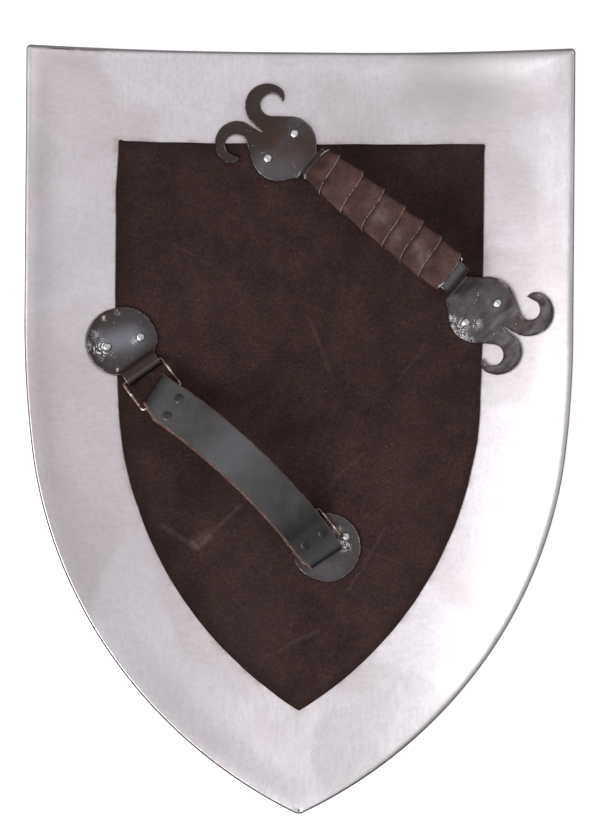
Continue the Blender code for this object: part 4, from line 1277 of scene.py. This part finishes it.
# Bare metal on each round plate, in plan: (x, y, reach, share), and a streak of painted highlight:
# (from, to, share).
UPPER_BRIGHT = (
    (-0.1890, 0.0785, 0.0100, 1.9),
    (-0.1945, 0.0930, 0.0070, 0.8),
    (-0.1577, 0.0868, 0.0045, 0.9),
    (-0.1738, 0.1140, 0.0030, 1.5),
    (-0.1850, 0.1085, 0.0034, 1.5),
    (-0.1727, 0.0585, 0.0030, 1.2),
    (-0.1992, 0.0830, 0.0036, 1.2),
    (-0.1882, 0.0578, 0.0030, 1.2),
)
LOWER_BRIGHT = (
    (0.0420, -0.1030, 0.0075, 1.4),
    (0.0385, -0.0945, 0.0070, 1.0),
    (0.0470, -0.1085, 0.0060, 1.3),
)
UPPER_HIGHLIGHT = ((-0.1790, 0.0850), (-0.1600, 0.0900), 0.90)
LOWER_HIGHLIGHT = ((0.0150, -0.1350), (0.0300, -0.1400), 0.10)
# How much of the round plates' rims is painted bright, by outline: wear, and painted highlight where the
# bevel catches the light.
ANCHOR_EDGE_WEAR_AND_GLINT = {5: 0.6, 6: 0.6}


def bar_height():
    """Height of a ring bar's centre above the underside of its anchor's disc."""
    return ANCHOR_THICKNESS + GAP + WIRE


def anchor_path(slope):
    """How the tab bends: up a slope, over the ring's bar and back below itself."""
    rise = bar_height() + WIRE + GAP
    bend = rise / (2 * (1 - math.cos(slope)))
    slope_start = BAR_REACH - BAR_SLACK - 2 * bend * math.sin(slope)
    roll = WIRE + GAP
    segments = (
        (slope_start, 0.0),
        (bend * slope, slope),
        (bend * slope, -slope),
        (2 * BAR_SLACK, 0.0),
        (roll * math.pi, -math.pi),
        (0.1, 0.0),
    )
    crest = sum(part for part, _ in segments[:4])
    end = crest + roll * math.pi + BAR_REACH + BAR_SLACK - TAIL_END
    return bend_path(segments), crest, end


def anchor_outline(angle, end):
    """A slightly uneven disc and its straight tab, cut flat. end is the tab's far end."""
    root = math.degrees(math.acos(TAB_ROOT / DISC_RADIUS))
    outline = [
        (u + 0.0009 * blotch(u, v, 0.024, angle), v + 0.0009 * blotch(u, v, 0.026, 1 + angle))
        for u, v in arc((0, 0), DISC_RADIUS, root, 360 - root, 120)
    ]
    corners = [(TAB_NECK, TAB_HALF), (end, TAB_HALF)]
    return evenly(outline + [(u, -v) for u, v in corners] + corners[::-1], 0.0012)


def disc_look(point, centre, off, highlight):
    """Painted highlight and painted shade on a disc: a pale streak, and a dark rim that is darkest to
    the left.
    """
    start, end, share = highlight
    rim = fade(DISC_RADIUS + 0.002 - off, 0.016)
    left = 0.35 + 0.65 * max(0.0, (centre.x - point.x) / DISC_RADIUS)
    return share * fade(to_segment(point, start, end), 0.019), min(1.0, rim * left)


def make_anchor(name, centre, angle, slope, iron, bright, highlight):
    """A disc and tab cut from one plate, with its bare spots, a streak of painted highlight and painted
    shade.
    """
    bent, crest, end = anchor_path(slope)
    along, across = plan_axes(angle)
    outlines, heights = rounded_edge(anchor_outline(angle, end), ANCHOR_THICKNESS, 0.0006)

    def spot(p, q):
        return centre + along * (bent(p)[0] if p > 0 else p) + across * q

    def place(p, q, height):
        run, rise, heading = bent(p) if p > 0 else (p, 0.0, 0.0)
        run -= math.sin(heading) * height
        rise += math.cos(heading) * height
        point = centre + along * run + across * q
        return Vector((point.x, point.y, hollow(spot(p, q).x, FITTING_DEPTH) + rise))

    def relief(p, q):
        if p > TAB_ROOT:
            return 0.0
        point = spot(p, q)
        dug = sum(share * fade(math.dist(point, (x, y)), reach) for x, y, reach, share in bright)
        fine = 0.00030 * dug * blotch(point.x, point.y, 0.0028, 8.0)
        return 0.00016 * blotch(point.x, point.y, 0.013, 5.0) + fine - 0.00010

    def paint(p, q, loop):
        point = spot(p, q)
        torn = 1.0 + 0.6 * blotch(point.x, point.y, 0.0050, 4.0)
        pale, shade = disc_look(point, centre, math.hypot(p, q), highlight)
        # On the tab: painted highlight along the roll, and brownish painted shade on its slope.
        if p > TAB_ROOT:
            pale, shade = 0.42 * fade(abs(p - crest + 0.0018), 0.0016), 0.75
        # Painted shade also darkens the disc towards the tab's root.
        before = max(0.0, TAB_ROOT - p)
        shade = max(shade, 0.75 * fade(before, 0.011))
        return {
            "edge": ANCHOR_EDGE_WEAR_AND_GLINT.get(loop, 0.0),
            "bare": strongest(point, bright, torn),
            "pale": pale,
            "shade": max(0.0, shade - pale),
            "brown": 0.6 + 0.8 * fade(before, 0.015),
        }

    return slab(outlines, heights, place, 0.0016, paint, relief).make(name, [iron], 45)


def ring_frame(centre, tab_angle, ring_angle, tilt):
    """Frame of a ring: origin in the middle of the bar in the tab, X to the far bar, Y along the bar."""
    along, loop = plan_axes(tab_angle)
    near = centre + BAR_REACH * along
    heights = [hollow((near + loop * (s * TAB_HALF)).x, FITTING_DEPTH) for s in (-1, 1)]
    climb = (heights[1] - heights[0]) / (2 * TAB_HALF)
    if loop.x * math.cos(ring_angle + math.pi / 2) < 0:
        climb = -climb
    bar_angle = ring_angle + math.pi / 2 + math.asin(climb * math.tan(tilt))
    forward = Vector((math.cos(ring_angle), math.sin(ring_angle), math.tan(tilt))).normalized()
    bar = Vector((math.cos(bar_angle), math.sin(bar_angle), climb)).normalized()
    origin = Vector((near.x, near.y, sum(heights) / 2 + bar_height())) + bar * RING_PLAY
    return axes_matrix(origin, forward, bar, forward.cross(bar))


def make_ring(name, matrix, wire):
    """A rectangle of bent wire: a tube swept round a path with slightly uneven sides."""
    side = RING_WIDTH / 2 - RING_CORNER
    near, far = RING_CORNER, RING_LENGTH - RING_CORNER
    corners = (((far, side), 90), ((far, -side), 0), ((near, -side), -90), ((near, side), 180))
    path = [p for centre, a in corners for p in arc(centre, RING_CORNER, a, a - 90, 10)]
    path = [Vector((x, y, 0.0)) for x, y in evenly(path, 0.0012)]
    up = Vector((0, 0, 1))
    skin = Skin()
    rings = []
    for i, here in enumerate(path):
        out = (path[(i + 1) % len(path)] - path[i - 1]).normalized().cross(up)
        free = max(0.0, 1 - abs(2 * here.x / RING_LENGTH - 1) ** 4)
        thick = WIRE * (0.95 + 0.16 * free + 0.07 * blotch(here.x + 0.1, here.y, 0.006, 3.0))
        round_wire = [out * math.cos(a) + up * math.sin(a) for a in full_turn(16)]
        rings.append(skin.add_points([matrix @ (here + spread * thick) for spread in round_wire]))
    skin.loft(rings, closed=True)
    return skin.make(name, [wire], 60)


# --- Arm strap ------------------------------------------------------------------------------------


def strap_direction(along):
    """Unit vectors along and across the strap in plan; across points away from the arc's centre."""
    across, back = plan_axes(STRAP_START_ANGLE - along / STRAP_ARC_RADIUS)
    return -back, across


def strap_plan(along, across):
    """The place in plan of a point on the strap."""
    return STRAP_ARC_CENTRE + strap_direction(along)[1] * (STRAP_ARC_RADIUS + across)


def plane_slope(matrix, direction):
    """How fast the matrix's XY plane climbs along a direction in plan."""
    normal = matrix.col[2]
    return -(normal.x * direction.x + normal.y * direction.y) / normal.z


def bezier(p0, p1, p2, p3, t):
    """A cubic curve's value at t, for one coordinate."""
    s = 1 - t
    return s**3 * p0 + 3 * s * s * t * p1 + 3 * s * t * t * p2 + t**3 * p3


class StrapEnd:
    """Where the far bar of a ring crosses the strap, and how it is turned there."""

    def __init__(self, ring):
        bar = ring @ Vector((RING_LENGTH, 0, 0))
        arm = bar.xy - STRAP_ARC_CENTRE
        self.along = (STRAP_START_ANGLE - math.atan2(arm.y, arm.x)) * STRAP_ARC_RADIUS
        self.across = arm.length - STRAP_ARC_RADIUS
        forward, outward = strap_direction(self.along)
        direction = ring.col[1].xy
        self.skew = direction.dot(forward) / direction.dot(outward)
        self.slope = plane_slope(ring, forward)
        self.lean = plane_slope(ring, outward)
        self.height = bar.z - self.across * self.lean + LOOP_GAP / 2 / ring.col[2].z

    def bar_at(self, across):
        return self.along + self.skew * (across - self.across)


class StrapRoute:
    """The height, lean and tail of the strap along its length."""

    # Between its ends the strap rises and falls in two curves that meet level at the crest. Each has
    # handles that reach so far along the strap from its two ends.
    upper_end, crest, lower_end = 0.031, 0.105, 0.203
    rise_reach, fall_reach = (0.025, 0.040), (0.044, 0.014)
    lower_slope = -0.07

    def __init__(self, upper_ring, lower_ring):
        self.upper = StrapEnd(upper_ring)
        self.lower = StrapEnd(lower_ring)

    def height(self, along):
        """Height of the top layer's middle, on the strap's own centre line."""
        upper, lower = self.upper, self.lower
        upper_z = upper.height + upper.slope * (self.upper_end - upper.along)
        lower_z = lower.height + self.lower_slope * (self.lower_end - lower.along)
        if along <= self.upper_end:
            return upper_z + upper.slope * (along - self.upper_end)
        if along >= self.lower_end:
            return lower_z + self.lower_slope * (along - self.lower_end)
        if along < self.crest:
            start, end, reach = self.upper_end, self.crest, self.rise_reach
            zs = upper_z, upper_z + reach[0] * upper.slope, STRAP_CREST, STRAP_CREST
        else:
            start, end, reach = self.crest, self.lower_end, self.fall_reach
            zs = STRAP_CREST, STRAP_CREST, lower_z + 0.0010, lower_z
        xs = start, start + reach[0], end - reach[1], end
        low, high = 0.0, 1.0
        for _ in range(40):
            middle = (low + high) / 2
            if bezier(*xs, middle) < along:
                low = middle
            else:
                high = middle
        return bezier(*zs, (low + high) / 2)

    def slope(self, along):
        step = 0.0005
        return (self.height(along + step) - self.height(along - step)) / (2 * step)

    def lean_at(self, along):
        share = (along - self.upper_end) / (self.lower_end - self.upper_end)
        return self.upper.lean * (1 - clamp(share))

    def normal(self, along):
        forward, outward = strap_direction(along)
        fall = forward * self.slope(along) + outward * self.lean_at(along)
        return Vector((-fall.x, -fall.y, 1.0)).normalized()

    def tail_gap(self, along, across):
        """Distance between the middles of the two layers: wide round the bar, then closed."""
        if along < self.crest:
            past = along - self.upper.bar_at(across)
        else:
            past = self.lower.bar_at(across) - along
        return LOOP_GAP + (CLOSED_GAP - LOOP_GAP) * clamp((past - 0.0020) / 0.0042)

    def askew(self, along, across):
        """Turns the tail's rows to lie along the bar where they pass it."""
        if along < self.crest:
            end, distance = self.upper, along
        else:
            end, distance = self.lower, STRAP_LENGTH - along
        share = min((distance - 0.005) / 0.005, (STRAP_TAIL - distance) / 0.016, 1.0)
        return along + max(0.0, share) * end.skew * (across - end.across)

    def edges(self, along, tail):
        """The strap's left and right edges: cut in a little where it goes round the rings."""
        edges = [-STRAP_HALF, STRAP_HALF]
        for fold, distance in ((UPPER_FOLD, along), (LOWER_FOLD, STRAP_LENGTH - along)):
            share = fade(distance, 0.021)
            edges = [e + (f - e) * share for e, f in zip(edges, fold)]
        if tail:
            edges = [max(edges[0], -0.0155), min(edges[1], 0.0190)]
        return edges

    def point(self, along, drop, sideways, tail):
        """A point of the strap's middle surface. drop is in tail gaps; sideways is from 0 to 1."""
        left, right = self.edges(along, tail)
        across = left + (right - left) * sideways
        if tail:
            along = self.askew(along, across)
        place = strap_plan(along, across)
        height = self.height(along) + across * self.lean_at(along)
        gap = self.tail_gap(along, across) * drop
        return Vector((place.x, place.y, height)) - self.normal(along) * gap


def strap_stations():
    """(along, drop, tail) from the end of the upper tail, round both folds, to the lower end."""
    fold = (LOOP_GAP + LEATHER) / 2
    end = STRAP_LENGTH - fold
    turns = [math.pi * i / 14 for i in range(1, 14)]
    round_fold = [(math.sin(t) * LOOP_GAP / 2, (1 + math.cos(t)) / 2) for t in turns]
    tail = [STRAP_TAIL + (fold - STRAP_TAIL) * i / 30 for i in range(31)]
    stations = [(along, 1.0, True) for along in tail]
    stations += [(fold - out, drop, False) for out, drop in round_fold]
    stations += [(fold + (end - fold) * i / 130, 0.0, False) for i in range(131)]
    stations += [(end + out, drop, False) for out, drop in reversed(round_fold)]
    stations += [(STRAP_LENGTH - along, 1.0, True) for along in reversed(tail)]
    return stations


# Round one edge of the strap's section: (out from the middle line, up), in half thicknesses.
STRAP_EDGE = (
    (-1.30, 1.00),
    (-0.75, 0.93),
    (-0.28, 0.74),
    (-0.06, 0.44),
    (0.0, 0.0),
    (0.0, -0.50),
    (-0.06, -0.85),
    (-0.25, -1.0),
)
STRAP_COLUMNS = 22


def strap_edge(place, inner, up, station, seeds):
    """Points round one cut edge, which wanders in and out from station to station."""
    out = (place - inner).normalized()
    ragged = sum(
        0.00050 * noise.noise(Vector((station / length, seed, 3.0)))
        for length, seed in zip((2.3, 7.0), seeds)
    )
    half = LEATHER / 2
    return [place + out * (o * half + ragged) + up * (u * half) for o, u in STRAP_EDGE]


def strap_ring(middle, i):
    """The section round the strap at one station: top, one edge, bottom and the other edge."""
    line = middle[i]
    before, after = middle[max(0, i - 1)], middle[min(len(middle) - 1, i + 1)]
    last = len(line) - 1
    ups = []
    for k in range(last + 1):
        aside = line[min(last, k + 1)] - line[max(0, k - 1)]
        ups.append((after[k] - before[k]).cross(aside).normalized())
    half = LEATHER / 2
    ring = [line[k] + ups[k] * half for k in range(2, last - 1)]
    ring += strap_edge(line[-1], line[-2], ups[-1], i, (0.0, 4.0))
    ring += [line[k] - ups[k] * half for k in range(last - 2, 1, -1)]
    return ring + strap_edge(line[0], line[1], ups[0], i, (9.0, 14.0))[::-1]


def make_strap(route, leather, tan, flesh):
    """The strap: black grain on top, tan cut edges with worn corners, brown flesh side below."""
    stations = strap_stations()
    across = [k / STRAP_COLUMNS for k in range(STRAP_COLUMNS + 1)]
    middle = [[route.point(along, drop, k, tail) for k in across] for along, drop, tail in stations]
    skin = Skin()
    rings = []
    for i, (along, _, tail) in enumerate(stations):
        press = worn = 0.0
        # Painted shade at both folds and before the lower one, and a painted highlight, partly wear,
        # along a stretch between them.
        if not tail:
            press = fade(min(along, STRAP_LENGTH - along), 0.016) * 0.95
            worn = 0.28 * fade(abs(along - 0.098), 0.034)
            if along > route.crest:
                press = max(press, 0.97 * fade(abs(along - 0.208), 0.042))
        rings.append(skin.add_points(strap_ring(middle, i), press=press, worn=worn))
    top, rim = STRAP_COLUMNS - 2, len(STRAP_EDGE) - 1
    grain, cut, rough = 0, 1, 2
    kinds = [grain] * top + [cut] * (rim - 1) + [rough] * top + [cut] * rim + [grain]
    skin.loft(rings, kinds=kinds, cap=cut)
    return skin.make("strap_leather_band", [leather, tan, flesh], 50)


def strap_frame(route, along, across):
    """A matrix in the middle of the strap's two layers, with its Z axis square to them."""
    left, right = route.edges(along, False)
    origin = route.point(along, 0.5, (across - left) / (right - left), False)
    forward, _ = strap_direction(along)
    normal = route.normal(along)
    ahead = Vector((forward.x, forward.y, route.slope(along))).normalized()
    return axes_matrix(origin, ahead, normal.cross(ahead), normal)


# --- Rivets ---------------------------------------------------------------------------------------


def turned(name, matrix, profile, material, seed, rough, press=0.0):
    """A rivet from a profile of (radius, height, edge share), with an uneven, hammered head."""
    skin = Skin()
    rings = []
    for radius, z, edge in profile:
        ring = []
        for turn in full_turn(28):
            x, y = radius * math.cos(turn), radius * math.sin(turn)
            uneven = 1 + rough * noise.noise(Vector((x * 350, y * 350, seed)))
            flat = rough * 0.0009 * noise.noise(Vector((x * 420, y * 420, seed + 4)))
            ring.append(matrix @ Vector((x * uneven, y * uneven, z + flat)))
        rings.append(skin.add_points(ring, edge=edge, press=press * (1.0 - 0.6 * edge)))
    skin.loft(rings)
    return skin.make(name, [material], 55)


def shield_rivet(name, x, y, grip, steel, seed):
    """Hammered dome in the hollow, shank and flat head on the face."""
    top, low = grip + GAP, -GAP - FRONT_HEAD_HEIGHT
    dome = [
        (BACK_HEAD * math.cos(t), top + BACK_HEAD_HEIGHT * math.sin(t) ** 0.9, 0.0)
        for t in map(math.radians, (87, 80, 66, 52, 38, 25, 12))
    ]
    face = [
        (BACK_HEAD, top + 0.0001, 1.0),
        (SHANK_NECK, top, 1.0),
        (SHANK_NECK, -GAP, 0.6),
        (FRONT_HEAD, -GAP, 0.7),
        (FRONT_HEAD, low * 0.6, 0.2),
        (FRONT_HEAD * 0.8, low, 0.0),
        (FRONT_HEAD * 0.3, low, 0.0),
    ]
    return turned(name, frame_at(x, y), dome + face, steel, seed, 0.10)


# The dome of a strap rivet, from its middle out: (share of the head, height, edge share).
STRAP_DOME = (
    (0.15, 0.00135, 0.0),
    (0.45, 0.00130, 0.0),
    (0.62, 0.00118, 0.1),
    (0.80, 0.00095, 0.5),
    (0.95, 0.00060, 1.0),
    (1.0, 0.0002, 0.6),
)


def strap_rivet(name, route, place, black, seed):
    """Low dome on the strap's grain side, shank through both layers and a small head below."""
    face = CLOSED_GAP / 2 + LEATHER / 2 + GAP
    profile = [(STRAP_HEAD * share, face + rise, edge) for share, rise, edge in STRAP_DOME] + [
        (STRAP_HEAD, face - 0.0002, 0.0),
        (0.0014, face - 0.0002, 0.0),
        (0.0014, -face, 0.0),
        (0.0030, -face, 0.5),
        (0.0028, -face - 0.0008, 0.3),
        (0.0008, -face - 0.0009, 0.0),
    ]
    # Painted shade, strongest on the lower rivets, which lean with the strap where it falls away.
    press = 0.9 if place[0] > route.crest else 0.35
    return turned(name, strap_frame(route, *place), profile, black, seed, 0.05, press)


# --- Threads --------------------------------------------------------------------------------------

# Frayed ends of the wound strip, in the bar's frame: start, middle and end of each, in millimetres.
FRAYS = (
    ((-85.6, 8.0, 5.6), (-85.2, 13.0, 6.0), (-83.0, 18.0, 4.8)),
    ((-85.8, -16.0, 5.0), (-84.6, -18.2, 5.2), (-82.0, -17.8, 5.6)),
    ((-85.9, -14.5, 5.4), (-85.2, -15.8, 5.9), (-82.8, -16.2, 5.8)),
    ((77.0, 17.8, 6.0), (79.6, 18.4, 5.6), (80.1, 15.0, 6.0)),
    ((78.6, -17.5, 5.4), (80.0, -15.0, 5.9), (80.2, -11.0, 6.1)),
    ((78.0, -16.0, 5.9), (79.8, -13.4, 6.3), (80.1, -9.8, 6.2)),
)


def make_fray(number, points, pale):
    """A thin curl of pale fibres, thickest in its middle."""
    matrix = bar_frame(0.0)
    start, middle, end = (Vector(p) / 1000 for p in points)
    skin = Skin()
    rings = []
    count = 14
    for i in range(count + 1):
        t = i / count
        here = start * (1 - t) ** 2 + middle * 2 * t * (1 - t) + end * t * t
        ahead = ((middle - start) * (1 - t) + (end - middle) * t).normalized()
        side = ahead.cross(Vector((0, 0, 1))).normalized()
        up = side.cross(ahead)
        swell = 0.35 + math.sin(math.pi * min(0.97, max(0.03, t)))
        thick = 0.00024 * swell * (1 + 0.3 * math.sin(9 * t + number))
        spread = [(side * math.cos(a) + up * math.sin(a)) * thick for a in full_turn(6)]
        rings.append(skin.add_points([matrix @ (here + off) for off in spread]))
    skin.loft(rings)
    return skin.make(f"wrap_fray_{number}", [pale], 80)


# --- Scene ----------------------------------------------------------------------------------------


def stand_for(piece, node):
    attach(piece, "root")
    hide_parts(node)


def make_floor():
    bm = bmesh.new()
    bmesh.ops.create_grid(bm, x_segments=2, y_segments=2, size=6.0)
    mesh = bpy.data.meshes.new("floor")
    bm.to_mesh(mesh)
    bm.free()
    mesh.materials.append(floor_finish())
    floor = new_object("floor", mesh)
    floor.location.z = CAD_LOW.z - 0.0002


def add_area(name, place, target, size, power, colour):
    light = bpy.data.lights.new(name, "AREA")
    light.shape = "RECTANGLE"
    light.size, light.size_y = size
    light.energy = power
    light.color = colour
    obj = new_object(name, light)
    obj.visible_camera = False
    obj.location = place
    obj.rotation_euler = (Vector(target) - Vector(place)).to_track_quat("-Z", "Y").to_euler()


def make_world():
    """A bright dome overhead that darkens towards the horizon, and a pale backdrop for the camera."""
    world = bpy.data.worlds.new("studio")
    world.use_nodes = True
    nodes, links = world.node_tree.nodes, world.node_tree.links
    height = nodes.new("ShaderNodeVectorMath")
    height.operation = "DOT_PRODUCT"
    links.new(nodes.new("ShaderNodeTexCoord").outputs["Generated"], height.inputs[0])
    height.inputs[1].default_value = Vector(DOME_AXIS).normalized()
    dome = nodes.new("ShaderNodeMapRange")
    dome.interpolation_type = "SMOOTHSTEP"
    links.new(height.outputs["Value"], dome.inputs["Value"])
    for socket, value in zip(("From Min", "From Max", "To Min", "To Max"), (*DOME_REACH, *DOME_LIGHT)):
        dome.inputs[socket].default_value = value
    strength = nodes.new("ShaderNodeMix")
    links.new(nodes.new("ShaderNodeLightPath").outputs["Is Camera Ray"], strength.inputs[0])
    links.new(dome.outputs["Result"], strength.inputs[2])
    strength.inputs[3].default_value = BACKDROP
    background = nodes["Background"]
    background.inputs["Color"].default_value = (0.985, 0.975, 1.0, 1.0)
    links.new(strength.outputs[0], background.inputs["Strength"])
    bpy.context.scene.world = world


def make_camera():
    camera = bpy.data.cameras.new("camera")
    camera.sensor_fit = "VERTICAL"
    camera.sensor_height = 36.0
    camera.lens = CAMERA_LENS
    obj = new_object("camera", camera)
    place = (*CAMERA_OVER, FACE_Z + SHEET + CAMERA_RISE)
    obj.matrix_world = Matrix.Translation(place) @ Matrix.Rotation(CAMERA_TURN, 4, "Z")
    bpy.context.scene.camera = obj


bpy.context.scene.view_settings.view_transform = "Standard"
make_camera()
make_world()
add_area("softbox_left", (-2.2, -1.45, 2.6), (0, 0, 0), (2.4, 2.4), 104.0, (0.975, 0.98, 1.0))
add_area("softbox_front", (-0.1, -1.15, 2.9), (0, -0.3, 0), (1.3, 0.8), 1.1, (0.98, 0.98, 1.0))
add_area("softbox_back", (1.7, 1.5, 2.7), (0, 0, 0), (1.5, 1.5), 4.5, (1.0, 0.98, 0.99))
make_floor()

IRON = iron_finish("blackened_steel", (0.070, 0.064, 0.066), (0.085, 0.055, 0.044))
RIVET_STEEL = rivet_finish()
BLACK_RIVET = black_rivet_finish()
WIRE_METAL = wire_finish()

stand_for(make_shield(steel_finish()), "shield_body")
lining = make_liner(liner_finish())
stand_for(lining, "suede_liner")
stand_for(make_grip(IRON), "grip_bar")
stand_for(make_wrap(wrap_finish()), "grip_wrap")

for end, centre, angle, slope, bright, highlight in (
    ("upper", UPPER_ANCHOR, UPPER_TAB_ANGLE, UPPER_TAB_SLOPE, UPPER_BRIGHT, UPPER_HIGHLIGHT),
    ("lower", LOWER_ANCHOR, LOWER_TAB_ANGLE, LOWER_TAB_SLOPE, LOWER_BRIGHT, LOWER_HIGHLIGHT),
):
    plate = make_anchor(f"anchor_plate_{end}", centre, angle, slope, IRON, bright, highlight)
    stand_for(plate, f"strap_anchor_{end}")
upper_ring = ring_frame(UPPER_ANCHOR, UPPER_TAB_ANGLE, UPPER_RING_ANGLE, UPPER_RING_TILT)
lower_ring = ring_frame(LOWER_ANCHOR, LOWER_TAB_ANGLE, LOWER_RING_ANGLE, LOWER_RING_TILT)
stand_for(make_ring("wire_ring_upper", upper_ring, WIRE_METAL), "ring_upper")
stand_for(make_ring("wire_ring_lower", lower_ring, WIRE_METAL), "ring_lower")

route = StrapRoute(upper_ring, lower_ring)
TAN = flesh_finish("cut_edge_tan", (0.042, 0.023, 0.019), (0.26, 0.150, 0.116))
FLESH = flesh_finish("flesh_side", (0.075, 0.045, 0.034), (0.16, 0.105, 0.08))
stand_for(make_strap(route, leather_finish(), TAN, FLESH), "arm_strap")

for holds, places, thickness, seed in (
    ("grip", GRIP_RIVETS, GRIP_THICKNESS, 0),
    ("anchor", ANCHOR_RIVETS, ANCHOR_THICKNESS, 10),
):
    for number, (x, y) in enumerate(places, 1):
        name, grip = f"{holds}_rivet_head_{number}", FITTING_DEPTH + thickness
        rivet = shield_rivet(name, x, y, grip, RIVET_STEEL, seed + number)
        stand_for(rivet, f"{holds}_rivet_{number}")
for number, place in enumerate(STRAP_RIVETS, 1):
    rivet = strap_rivet(f"strap_rivet_head_{number}", route, place, BLACK_RIVET, 20 + number)
    stand_for(rivet, f"strap_rivet_{number}")

PALE = flesh_finish("frayed_edge", (0.45, 0.38, 0.35), (0.85, 0.80, 0.77))
for number, points in enumerate(FRAYS, 1):
    fray = make_fray(number, points, PALE)
    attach(fray, "root")
